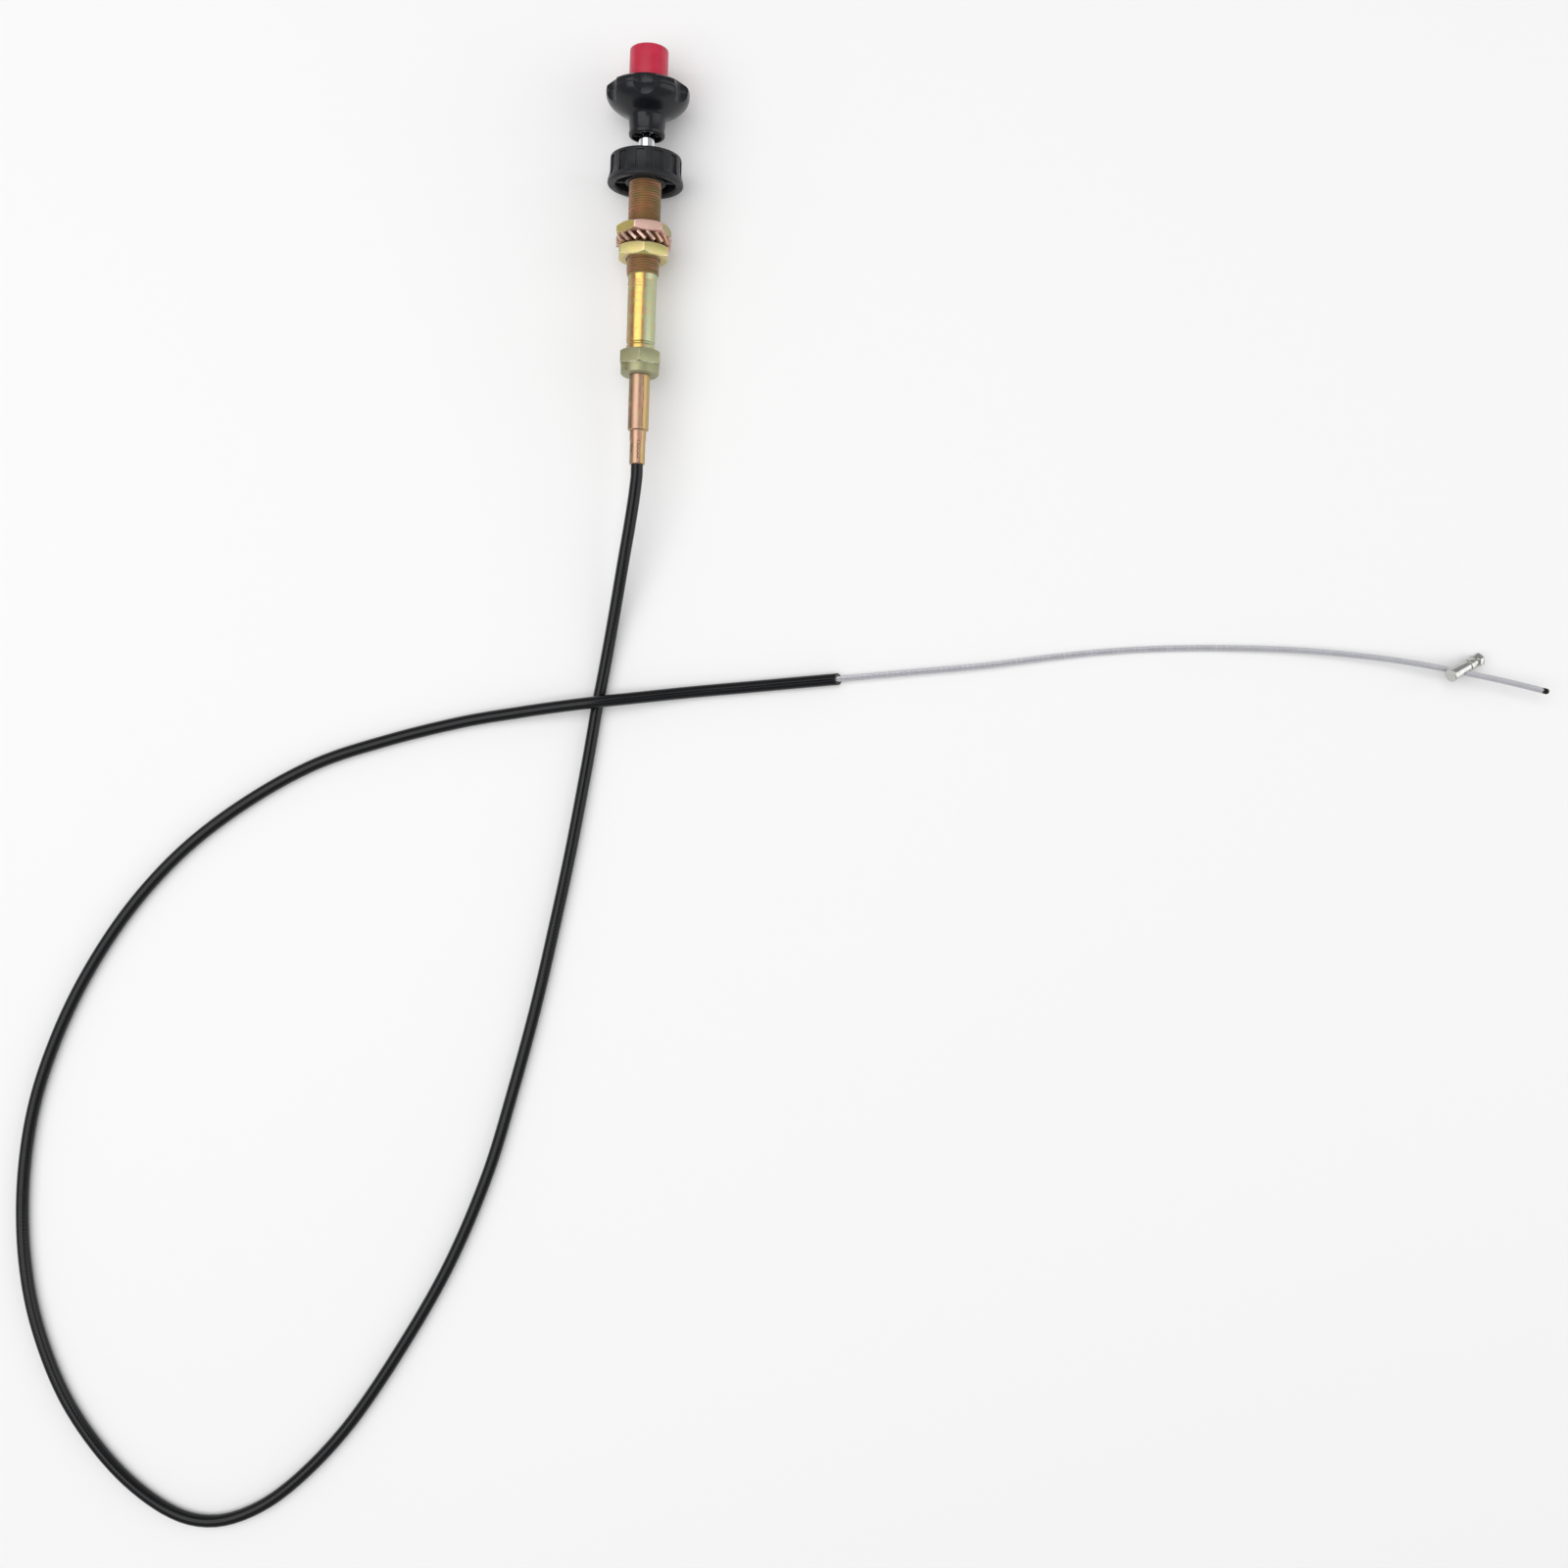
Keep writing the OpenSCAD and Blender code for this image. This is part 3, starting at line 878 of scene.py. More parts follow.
@dataclass(frozen=True)
class WoundCord:
    """Surface of a cord or strand whose lines wind along it, on the piece's own UV map."""

    name: str
    body: Colour
    valley: Colour
    rough: tuple[float, float]
    metallic: float
    starts: float
    pitch: float
    depth: float
    valley_share: float
    shine: float = 0.5

    def build(self, bench: Bench) -> None:
        """Put the finish's nodes into its material.

        Args:
            bench: The bench with the material.
        """
        desk = bench.desk
        given = {"Run": bench.run, "Starts": self.starts, "Pitch": self.pitch * MM}
        lines = bench.group(bench.effects.winding, **given)
        low = desk.spread(lines.outputs["Height"], 0.0, 0.45, self.valley_share, 0.0)
        colour = desk.blend(low, self.body, self.valley)
        colour = desk.blend(bench.patches(300.0, 0.0, 0.25), colour, self.valley)
        grain = bench.grain(3800.0, 0.07)
        fuzz = desk.math("MULTIPLY", grain.outputs["Height"], 0.3)
        height = desk.math("ADD", lines.outputs["Height"], fuzz)
        bench.finish(
            {"Metallic": self.metallic, "Specular IOR Level": self.shine},
            Base_Color=colour,
            Roughness=bench.patches(260.0, *self.rough),
            Normal=bench.relief(height, self.depth, 1.0),
        )


# Each plating's left, middle and right tints are partly film colour, partly painted highlight and
# shade.
ZINC_GOLD = Plating(
    "zinc gold", left=(0.42, 0.3, 0.16), middle=(0.7, 0.54, 0.15), right=(0.44, 0.48, 0.3),
    line=(0.5, 0.15, 0.05), cloud=(0.52, 0.52, 0.2), streak=(0.66, 0.3, 0.16),
    edge=(0.88, 0.68, 0.48), borders=(-0.48, 0.2), soft=0.05, lines=0.8, clouds=0.55, streaks=0.3,
)
ZINC_THREAD = Plating(
    "zinc thread", left=(0.34, 0.2, 0.12), middle=(0.4, 0.24, 0.11), right=(0.24, 0.17, 0.09),
    line=(0.1, 0.06, 0.03), cloud=(0.24, 0.24, 0.1), streak=(0.58, 0.25, 0.2),
    edge=(0.56, 0.38, 0.24), borders=(-0.4, 0.4), soft=0.3, streaks=0.7, across=900.0,
    rough=(0.36, 0.52), edge_width=0.1, metallic=0.75,
)
# The near-white edge colours of the nuts and teeth are partly wear, partly painted highlight.
ZINC_PINK = Plating(
    "zinc pink", left=(0.46, 0.38, 0.1), middle=(0.78, 0.5, 0.45), right=(0.36, 0.31, 0.15),
    line=(0.3, 0.14, 0.06), cloud=(0.6, 0.46, 0.22), streak=(0.7, 0.4, 0.3),
    edge=(1.0, 0.84, 0.8), borders=(-0.25, 0.6), clouds=0.35, streaks=0.15, across=120.0,
    edge_width=0.8, metallic=0.75,
)
ZINC_LEMON = Plating(
    "zinc lemon", left=(0.32, 0.33, 0.22), middle=(0.66, 0.58, 0.22), right=(0.56, 0.52, 0.2),
    line=(0.36, 0.12, 0.08), cloud=(0.7, 0.4, 0.28), streak=(0.44, 0.5, 0.2),
    edge=(1.0, 0.84, 0.78), borders=(-0.7, 0.1), clouds=0.6, streaks=0.4, across=120.0,
    edge_width=0.8, metallic=0.75,
)
ZINC_OLIVE = Plating(
    "zinc olive", left=(0.26, 0.27, 0.14), middle=(0.34, 0.34, 0.19), right=(0.32, 0.33, 0.19),
    line=(0.1, 0.1, 0.05), cloud=(0.36, 0.3, 0.17), streak=(0.4, 0.36, 0.25),
    edge=(0.78, 0.77, 0.62), borders=(-0.5, 0.3), soft=0.15, streaks=0.4, across=200.0,
    rough=(0.36, 0.48), edge_width=0.6, metallic=0.75,
)
ZINC_ROSE = Plating(
    "zinc rose", left=(0.24, 0.18, 0.11), middle=(0.5, 0.31, 0.22), right=(0.46, 0.33, 0.14),
    line=(0.18, 0.08, 0.05), cloud=(0.48, 0.36, 0.2), streak=(0.6, 0.3, 0.22),
    edge=(0.84, 0.62, 0.5), borders=(-0.68, 0.45), soft=0.06, lines=0.7, clouds=0.55, streaks=0.4,
    across=130.0, edge_width=0.3,
)
ZINC_TEETH = Plating(
    "zinc teeth", left=(0.62, 0.4, 0.34), middle=(0.7, 0.46, 0.4), right=(0.6, 0.36, 0.26),
    line=(0.12, 0.05, 0.03), cloud=(0.5, 0.34, 0.12), streak=(0.6, 0.26, 0.18),
    edge=(0.98, 0.84, 0.8), borders=(-0.5, 0.5), soft=0.2, clouds=0.4, streaks=0.3, across=300.0,
    edge_width=0.3,
)
# Painted shade: near-black zinc for the washer ring, which lies in the teeth's shade.
ZINC_PAINTED_SHADE = Plating(
    "zinc painted shade", left=(0.08, 0.04, 0.03), middle=(0.1, 0.05, 0.03), right=(0.07, 0.04, 0.02),
    line=(0.02, 0.01, 0.01), cloud=(0.12, 0.07, 0.03), streak=(0.16, 0.06, 0.04),
    edge=(0.2, 0.12, 0.08), rough=(0.45, 0.6),
)
KNOB_BLACK = Moulding(
    "knob black", body=(0.007, 0.0075, 0.01), edge=(0.05, 0.055, 0.06), rough=(0.18, 0.28),
    texture=2200.0, depth=0.006, shine=0.32,
)
GRIP_BLACK = Moulding(
    "grip black", body=(0.009, 0.0095, 0.012), edge=(0.12, 0.125, 0.14), rough=(0.36, 0.5),
    depth=0.016, shine=0.35,
)
BUTTON_RED = Moulding(
    "button red", body=(0.47, 0.014, 0.045), edge=(0.66, 0.08, 0.12), rough=(0.28, 0.38),
    texture=2400.0, depth=0.01, shine=0.45,
)
SEAL_TEAL = Moulding(
    "seal teal", body=(0.01, 0.09, 0.085), edge=(0.05, 0.2, 0.18), rough=(0.35, 0.5),
)
SEAL_RUBBER = Moulding(
    "seal rubber", body=(0.02, 0.02, 0.02), edge=(0.06, 0.06, 0.06), rough=(0.6, 0.75),
    texture=1800.0, depth=0.02,
)
LINER_WHITE = Moulding(
    "liner white", body=(0.72, 0.72, 0.68), edge=(0.8, 0.8, 0.78), rough=(0.35, 0.5),
    texture=1800.0, depth=0.01,
)
CHROME = BareMetal(
    "chrome", body=(0.86, 0.87, 0.9), dull=(0.7, 0.71, 0.74), rough=(0.05, 0.12),
    line_scale=2500.0, depth=0.002,
)
NICKEL = BareMetal(
    "nickel", body=(0.6, 0.6, 0.58), dull=(0.4, 0.4, 0.38), rough=(0.08, 0.18), line_scale=2600.0,
)
PLAIN_STEEL = BareMetal(
    "plain steel", body=(0.52, 0.52, 0.54), dull=(0.36, 0.36, 0.38), rough=(0.26, 0.4),
)
BRONZE = BareMetal("bronze", body=(0.6, 0.4, 0.18), dull=(0.42, 0.27, 0.12), rough=(0.26, 0.4))
COIL_STEEL = BareMetal(
    "coil steel", body=(0.5, 0.4, 0.3), dull=(0.3, 0.22, 0.16), rough=(0.35, 0.5),
    line_scale=1500.0, depth=0.02,
)
BURNT_TIP = BareMetal(
    "burnt tip", body=(0.03, 0.025, 0.025), dull=(0.1, 0.08, 0.07), rough=(0.15, 0.3),
    line_scale=1600.0, depth=0.05,
)
CONDUIT_BLACK = WoundCord(
    "conduit black", body=(0.002, 0.0024, 0.0032), valley=(0.005, 0.0055, 0.007),
    rough=(0.16, 0.26), metallic=0.0, starts=1.0, pitch=1.9, depth=0.02, valley_share=0.5,
    shine=0.3,
)
STRAND_STEEL = WoundCord(
    "strand steel", body=(0.66, 0.66, 0.7), valley=(0.4, 0.4, 0.43), rough=(0.34, 0.46),
    metallic=0.9, starts=6.0, pitch=-3.0, depth=0.03, valley_share=0.6,
)


# --- the workshop

Finish = Plating | Moulding | BareMetal | WoundCord


class Shop:
    """Keeps the finishes, and hands pieces over to the frame."""

    def __init__(self) -> None:
        """Build the shared shader groups."""
        self.effects = Effects()
        self.made: dict[str, bpy.types.Material] = {}

    def dress(self, piece: Piece, finish: Finish) -> None:
        """Give a piece its finish, whose material is built once.

        Args:
            piece: The piece.
            finish: Its finish.
        """
        if finish.name not in self.made:
            bench = Bench(finish.name, self.effects)
            finish.build(bench)
            self.made[finish.name] = bench.material
        piece.data.materials.clear()
        piece.data.materials.append(self.made[finish.name])

    def hand_over(
        self, piece: Piece, finish: Finish, body: str, slot: str, nodes: Sequence[str] = ()
    ) -> Piece:
        """Dress a finished piece and let it ride on its body.

        Args:
            piece: The piece, at the origin with its place in its mesh.
            finish: Its finish.
            body: The body that it moves with.
            slot: The record's material slot. Not used.
            nodes: The frame's nodes that it stands for.

        Returns:
            The same piece.
        """
        self.dress(piece, finish)
        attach(piece, body)
        if nodes:
            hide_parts(*nodes)
        log.info("%s: %d faces, on %s", piece.name, len(piece.data.polygons), body)
        return piece


@dataclass
class Assembly:
    """A sub-assembly, which hands its finished pieces over to the shop."""

    shop: Shop

    def deliver(self, plan: Iterable[tuple], angle: float) -> None:
        """Lay turned pieces along the head and hand them over.

        Args:
            plan: For each its mesh, finish, body, slot and the nodes that it stands for.
            angle: The angle in degrees up to which they are shaded smooth.
        """
        for piece, finish, body, slot, *nodes in plan:
            smooth(bake_place(piece, HEAD), angle)
            self.shop.hand_over(piece, finish, body, slot, nodes)

# --- sub-assemblies


@dataclass
class Conduit(Assembly):
    """The black conduit, which loops on the table from the ferrule to its cut end."""

    radius: float = 3.0
    coil_outer: float = 2.35
    liner_outer: float = 1.95
    bore: float = 1.8
    play: float = 0.03
    length: float = 1.35
    inlet: float = -88.2
    ferrule_end: float = -102.1
    straight: float = 75.0
    straight_start: Spot = (30.0, -212.3, 3.0)
    cut_slant: float = 33.0
    lining: float = 74.0
    route: tuple[Spot, ...] = (
        (0, -108, 19.66), (-1, -118, 19.2), (-3, -132, 17.2), (-6, -150, 13.6), (-9, -168, 9.2),
        (-12, -186, 5.6), (-15, -204, 3.5), (-18, -222, 3), (-22, -250, 3), (-29, -294, 3),
        (-36, -332, 3), (-44, -372, 3), (-54, -414, 3), (-66, -458, 3), (-84, -504, 3),
        (-107, -547, 3), (-132, -586, 3), (-157, -614, 3), (-179, -630, 3), (-201, -636, 3),
        (-223, -630, 3), (-249, -610, 3), (-273, -579, 3), (-289, -543, 3), (-297, -508, 3),
        (-299, -470, 3), (-295, -432, 3), (-285, -397, 3), (-270, -363, 3), (-249, -329, 3),
        (-223, -299, 3), (-192, -274, 3), (-158, -254, 3), (-122, -241, 3), (-86, -231, 3.2),
        (-58, -225.5, 5), (-37, -222, 8.2), (-17, -219, 9.4), (5, -215.8, 6.3), (30, -212.3, 3.45),
    )

    @property
    def heading(self) -> Vector:
        """Direction of the last straight stretch."""
        return Vector((100.0, 12.0, 0.0)).normalized()

    @property
    def end(self) -> Vector:
        """Middle of the cut end, in millimetres."""
        return Vector(self.straight_start) + self.straight * self.heading

    def build(self) -> None:
        """Lay the jacket and line its cut end."""
        start = Vector(self.straight_start)
        thirds = [start + self.heading * self.straight * third / 3 for third in (1, 2, 3)]
        inlet = Vector((0.0, self.inlet, AXIS_HEIGHT / MM))
        line = [inlet, *smooth_route([*self.route, *thirds], 5.0)]
        end, hollow = line[-1], self.coil_outer + self.play
        rings = [(point, self.radius) for point in line]
        rings += [(end, hollow), (end - self.straight * self.heading, hollow)]
        spots, radii = [point * MM for point, _ in rings], [radius * MM for _, radius in rings]
        jacket = smooth(self.snip(swept("Conduit.jacket", spots, radii, 28)), 40.0)
        nodes = ("conduit", "conduit_inlet", "conduit_jacket_end")
        self.shop.hand_over(jacket, CONDUIT_BLACK, "hub_body", "conduit_black", nodes)
        coil = self.layer("Conduit.coil", self.liner_outer, self.coil_outer)
        self.shop.hand_over(coil, COIL_STEEL, "hub_body", "coil_steel", ("conduit_coil_end",))
        liner = self.layer("Conduit.liner", self.bore, self.liner_outer)
        self.shop.hand_over(liner, LINER_WHITE, "hub_body", "liner_plastic", ("conduit_liner_end",))

    def snip(self, piece: Piece) -> Piece:
        """Cut a layer's end on the slant, as side cutters leave it.

        Args:
            piece: The layer, in place.

        Returns:
            The same piece.
        """
        side = 20.0
        cutter = block("cutter", (side, side, side), (0.0, 0.0, side / 2))
        slant = math.radians(self.cut_slant)
        way = self.heading * math.cos(slant) + UP * math.sin(slant)
        bake_place(cutter, aimed(self.end - UP * self.radius, way))
        return soften(combine(piece, (cutter,), Cut.AWAY), 0.06, 50.0, 1)

    def layer(self, name: str, inner: float, outer: float) -> Piece:
        """Make one layer that lines the jacket's end.

        Args:
            name: The piece's name.
            inner: Its inner radius, in millimetres.
            outer: Its outer radius.

        Returns:
            The layer, in place.
        """
        back = -self.lining
        outline = eased([(inner, back), (outer, back, 0.05), (outer, 0.0), (inner, 0.0)])
        ring = bake_place(turned(name, outline, 48), aimed(self.end, self.heading))
        return smooth(self.snip(ring), 40.0)


@dataclass
class CoreWire(Assembly):
    """The stranded core wire that comes out of the conduit, with its fused tip."""

    conduit: Conduit
    strand_radius: float = 0.5
    lay_radius: float = 1.0
    lay_length: float = 13.5
    strands: int = 6
    length: float = 0.367
    tail: float = 12.0
    straight: float = 68.0
    route: tuple[Spot, ...] = (
        (190, -192.6, 2.7), (210, -189.4, 2.2), (230, -186.6, 1.8), (250, -184.5, 1.6),
        (270, -183.1, 1.6), (290, -182.3, 1.8), (310, -182, 2.4), (330, -182.2, 3.4),
        (350, -183.2, 4.7), (370, -184.9, 6.3), (390, -187.4, 8), (411, -190.9, 9.8),
        (434, -195.2, 11), (453, -199.3, 11.4),
    )

    def centreline(self) -> list[Vector]:
        """Lay out the wire's own line.

        Returns:
            Its points, in millimetres.
        """
        heading, end = self.conduit.heading, self.conduit.end
        first = [end + heading * far for far in (-self.tail, self.straight / 2, self.straight)]
        return smooth_route([*first, *(Vector(point) for point in self.route)], 1.0)

    def strand(self, line: Sequence[Vector], index: int) -> Piece:
        """Wind one strand round the wire's line.

        Args:
            line: The wire's line, in millimetres.
            index: Which of the strands it is.

        Returns:
            The strand.
        """
        points, along = [], 0.0
        for place, here in enumerate(line):
            before, after = line[max(0, place - 1)], line[min(len(line) - 1, place + 1)]
            along += (here - before).length
            way = (after - before).normalized()
            side = UP.cross(way).normalized()
            up = way.cross(side)
            turn = math.tau * (index / self.strands + along / self.lay_length)
            offset = self.lay_radius * (math.cos(turn) * side + math.sin(turn) * up)
            points.append((here + offset) * MM)
        return swept(f"Wire.strand{index}", points, [self.strand_radius * MM] * len(points), 8)

    def build(self, clamp_pieces: Sequence[Piece]) -> None:
        """Wind the wire and fuse its tip.

        Args:
            clamp_pieces: The pieces of the clamp on the wire. Not used.
        """
        line = self.centreline()
        strands = [self.strand(line, index) for index in range(self.strands)]
        wire = join(strands[0], strands[1:])
        wire.name = "Wire.strand"
        smooth(wire, 60.0)
        self.shop.hand_over(wire, STRAND_STEEL, "wire_body", "wire_steel", ("core_wire",))
        tip = self.tip(line)
        self.shop.hand_over(tip, BURNT_TIP, "wire_body", "tip_dark", ("wire_tip",))

    def tip(self, line: Sequence[Vector]) -> Piece:
        """Fuse the strands' ends into one rough bead.

        Args:
            line: The wire's line, in millimetres.

        Returns:
            The bead, in place.
        """
        outline = [(0, -0.6), (1.35, -0.6), (1.5, 0.3), (1.46, 1.2)]
        outline += [(1.5, 1.8), (1.3, 2.4), (0.85, 2.85), (0, 3.0)]
        bead = turned("Wire.tip", outline, 24)
        way = (line[-1] - line[-3]).normalized()
        return smooth(bake_place(bead, aimed(line[-1], way)), 50.0)


@dataclass
class WireClamp(Assembly):
    """The barrel clamp on the wire: barrel with a cross hole, collar and hexagon screw."""

    spot: Spot = (411.0, -190.9, 9.8)
    tilt: float = 22.6
    heading: float = 208.4
    wire_from: Spot = (390.0, -187.4, 8.0)
    wire_to: Spot = (434.0, -195.2, 11.0)
    barrel_radius: float = 3.5
    wire_hole: float = 1.62
    screw_radius: float = 1.7
    screw_across: float = 6.4

    @property
    def place(self) -> Matrix:
        """Where the clamp's pieces go, drawn along local Z with the wire hole at the origin.

        Returns:
            The move from there to the wire.
        """
        turn = Matrix.Rotation(math.radians(self.heading), 4, "Z")
        turn @= Matrix.Rotation(math.radians(90 - self.tilt), 4, "Y")
        return Matrix.Translation(Vector(self.spot) * MM) @ turn

    def build(self) -> list[Piece]:
        """Make the three pieces.

        Returns:
            The pieces, in place.
        """
        pieces = [self.barrel(), self.collar(), self.screw()]
        for piece, node in zip(pieces, ("clamp_barrel", "clamp_collar", "clamp_screw")):
            smooth(bake_place(piece, self.place), 35.0)
            self.shop.hand_over(piece, NICKEL, "wire_body", "clamp_steel", (node,))
        return pieces

    def barrel(self) -> Piece:
        """Make the barrel, with the wire's cross hole and the screw's bore.

        Returns:
            The barrel, not yet in its place.
        """
        r, waist = self.barrel_radius, self.barrel_radius - 0.6
        outline = [(0, -7.0), (waist, -7.0, 0.1), (waist, -6.2), (r, -6.2, 0.15), (r, 5.5, 0.45)]
        barrel = turned("Clamp.barrel", eased([*outline, (0, 5.5)]), 80)
        drill = bar("drill", -12.0, 12.0, self.wire_hole, 40)
        way = (Vector(self.wire_to) - Vector(self.wire_from)).normalized()
        bake_place(drill, self.place.inverted() @ aimed(Vector(self.spot), way))
        bore = bar("bore", -8.0, -3.0, self.screw_radius, 32)
        return soften(combine(barrel, (drill, bore), Cut.AWAY), 0.12, 35.0)

    def collar(self) -> Piece:
        """Turn the stepped collar.

        Returns:
            The collar, not yet in its place.
        """
        outline = [(1.75, -13.0), (2.6, -13.0, 0.2), (2.6, -10.0)]
        outline += [(3.4, -10.0, 0.3), (3.4, -7.0, 0.3), (1.75, -7.0)]
        return turned("Clamp.collar", eased(outline), 64)

    def screw(self) -> Piece:
        """Make the screw: chamfered hexagon head and pointed shank.

        Returns:
            The screw, not yet in its place.
        """
        corner = self.screw_across / math.sqrt(3.0)
        head = bar("Clamp.screw", -16.4, -13.0, corner, 6)
        over = corner + 0.1
        outline = [(0, -16.4), (corner - 0.75, -16.4), (over, -15.85), (over, -13.0), (0, -13.0)]
        combine(head, (turned("rim", outline, 64),), Cut.COMMON)
        soften(head, 0.1, 40.0)
        r = self.screw_radius
        outline = [(0, -14.0), (r, -14.0), (r, -4.5), (0.5, -3.1), (0, -3.1)]
        return combine(head, (turned("shank", outline, 32),), Cut.JOIN)


@dataclass
class Knob(Assembly):
    """The black knob with its lobed cover, the red button, its spring and the chrome shaft."""

    radius: float = 20.5
    scallop_depth: float = 3.2
    scallop_width: float = 11.6
    lobes: int = 6
    neck_base: float = 59.0
    rim_base: float = 79.1
    well_radius: float = 9.7
    well_floor: float = 71.7
    shaft_radius: float = 4.0
    shaft_bore: float = 2.15
    lock_hole: float = -42.0
    button_radius: float = 9.5
    button_base: float = 78.2
    button_top: float = 102.1
    spring_radius: float = 5.9
    spring_wire: float = 0.55
    spring_top: float = 91.9
    press: float = 6.0
    rim_edge: float = 0.45

    def scallops(self) -> list[Piece]:
        """Make the round cutters that shape the lobes.

        Returns:
            The cutters, one to each scallop.
        """
        floor, half = self.radius - self.scallop_depth, self.scallop_width / 2
        sag = math.sqrt(self.radius**2 - half**2) - floor
        radius = (sag * sag + half**2) / (2 * sag)
        cutter = bar("scallop", 66.0, 92.0, radius, 96)
        bake_place(cutter, Matrix.Translation((0.0, -(floor + radius) * MM, 0.0)))
        return copies_round(cutter, self.lobes)

    def body(self) -> Piece:
        """Make the mushroom body with its hollow neck and ribs.

        Returns:
            The body.
        """
        flare = [(9.0, 66.5), (9.55, 68.2), (10.9, 69.5), (13.2, 70.8), (16.0, 72.5)]
        flare += [(18.2, 74.3), (19.65, 76.2), (20.3, 77.8)]
        curve = [(p.x, p.y) for p in smooth_route(flare, 0.5)]
        base, rim, well = self.neck_base, self.rim_base, (self.well_radius, self.well_floor)
        low = eased([(7.25, base, 0.3), (8.75, base, 1.3), (9.0, 61.5, 0.8)])
        top = [(20.45, 78.75), (20.35, rim), (self.well_radius, rim), well]
        inner = [(self.shaft_radius, self.well_floor), (self.shaft_radius, 61.6), (7.0, 61.6)]
        knob = turned("Knob.body", [*low, *curve, *top, *inner], 144)
        pocket = bar("pocket", 61.5, 69.5, 7.2, self.lobes, 30.0)
        combine(knob, (pocket, *self.scallops()), Cut.AWAY)
        soften(knob, self.rim_edge, 34.0, 3)
        rib = soften(block("Knob.rib", (0.9, 2.6, 2.2), (0.0, -5.75, 60.55)), 0.15)
        return join(knob, copies_round(rib, self.lobes, 30.0))

    def cover(self) -> Piece:
        """Make the lobed cover above the parting line.

        Returns:
            The cover.
        """
        crown = [(20.35, 81.9), (19.4, 82.75), (17.0, 84.0), (13.0, 85.5), (11.2, 86.05)]
        curve = [(p.x, p.y) for p in smooth_route(crown, 0.5)]
        outline = [(self.well_radius, self.rim_base), (20.35, self.rim_base), (20.47, 79.4)]
        outline += [(self.radius, 80.4), (20.47, 81.3), *curve]
        outline += [(10.7, 86.2), (10.0, 86.15), (self.well_radius, 85.8)]
        cover = turned("Knob.cover", outline, 144)
        combine(cover, self.scallops(), Cut.AWAY)
        return soften(cover, self.rim_edge, 34.0, 3)

    def seal(self) -> Piece:
        """Turn the wiper ring round the button."""
        outline = [(9.58, 85.4), (10.35, 85.4), (10.35, 86.55, 0.25), (9.58, 86.55, 0.2)]
        return turned("Knob.seal", eased(outline), 96)

    def button(self) -> Piece:
        """Make the hollow push button with its boss.

        Returns:
            The button.
        """
        r, base, top = self.button_radius, self.button_base, self.button_top
        outline = [(0, 90.0), (2.0, 90.0), (2.0, base), (4.4, base), (4.4, 92.0, 0.4)]
        outline += [(7.5, 92.0, 0.4), (7.5, base), (r, base, 0.3), (r, top, 1.3), (0, top)]
        return turned("Knob.button", eased(outline, 6), 128)

    def shaft(self) -> Piece:
        """Make the hollow shaft with its cross hole for the lock balls.

        Returns:
            The shaft.
        """
        r, bore = self.shaft_radius, self.shaft_bore
        outline = [(0, -57.0), (2.8, -57.0), (2.8, -67.0), (r, -67.0, 0.3), (r, self.well_floor)]
        outline += [(bore, self.well_floor), (bore, -29.0), (2.9, -29.0), (2.9, -55.6), (0, -55.6)]
        shaft = turned("Knob.shaft", eased(outline), 96)
        drill = bar("drill", -6.0, 6.0, 1.24, 32)
        across = Matrix.Rotation(math.radians(90.0), 4, "Y")
        bake_place(drill, Matrix.Translation((0.0, 0.0, self.lock_hole * MM)) @ across)
        return combine(shaft, (drill,), Cut.AWAY)

    def spring(self) -> Piece:
        """Wind the button's return spring.

        Returns:
            The spring, in its place.
        """
        turns, steps, low, high = 5, 28, 72.35, 91.35
        points = []
        for step in range(turns * steps + 1):
            turn = math.tau * step / steps
            x, y = self.spring_radius * math.cos(turn), self.spring_radius * math.sin(turn)
            climb = low + (high - low) * step / (turns * steps)
            points.append(HEAD @ (Vector((x, y, climb)) * MM))
        return swept("Knob.spring", points, [self.spring_wire * MM] * len(points), 10)

    def build(self) -> None:
        """Make the knob's pieces, and give the spring a mesh of its own."""
        seal = self.seal()
        plan = (
            (self.body(), KNOB_BLACK, "knob_body", "knob_black", "knob"),
            (self.cover(), KNOB_BLACK, "knob_body", "knob_black", "knob_cover"),
            (seal, SEAL_TEAL, "knob_body", "seal_rubber"),
            (self.button(), BUTTON_RED, "button_body", "button_red", "button"),
            (self.shaft(), CHROME, "knob_body", "shaft_chrome", "shaft"),
        )
        self.deliver(plan, 30.0)
        spring = smooth(self.spring(), 60.0)
        self.shop.hand_over(spring, PLAIN_STEEL, "knob_body", "plain_steel", ("button_spring",))
        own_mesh(spring)


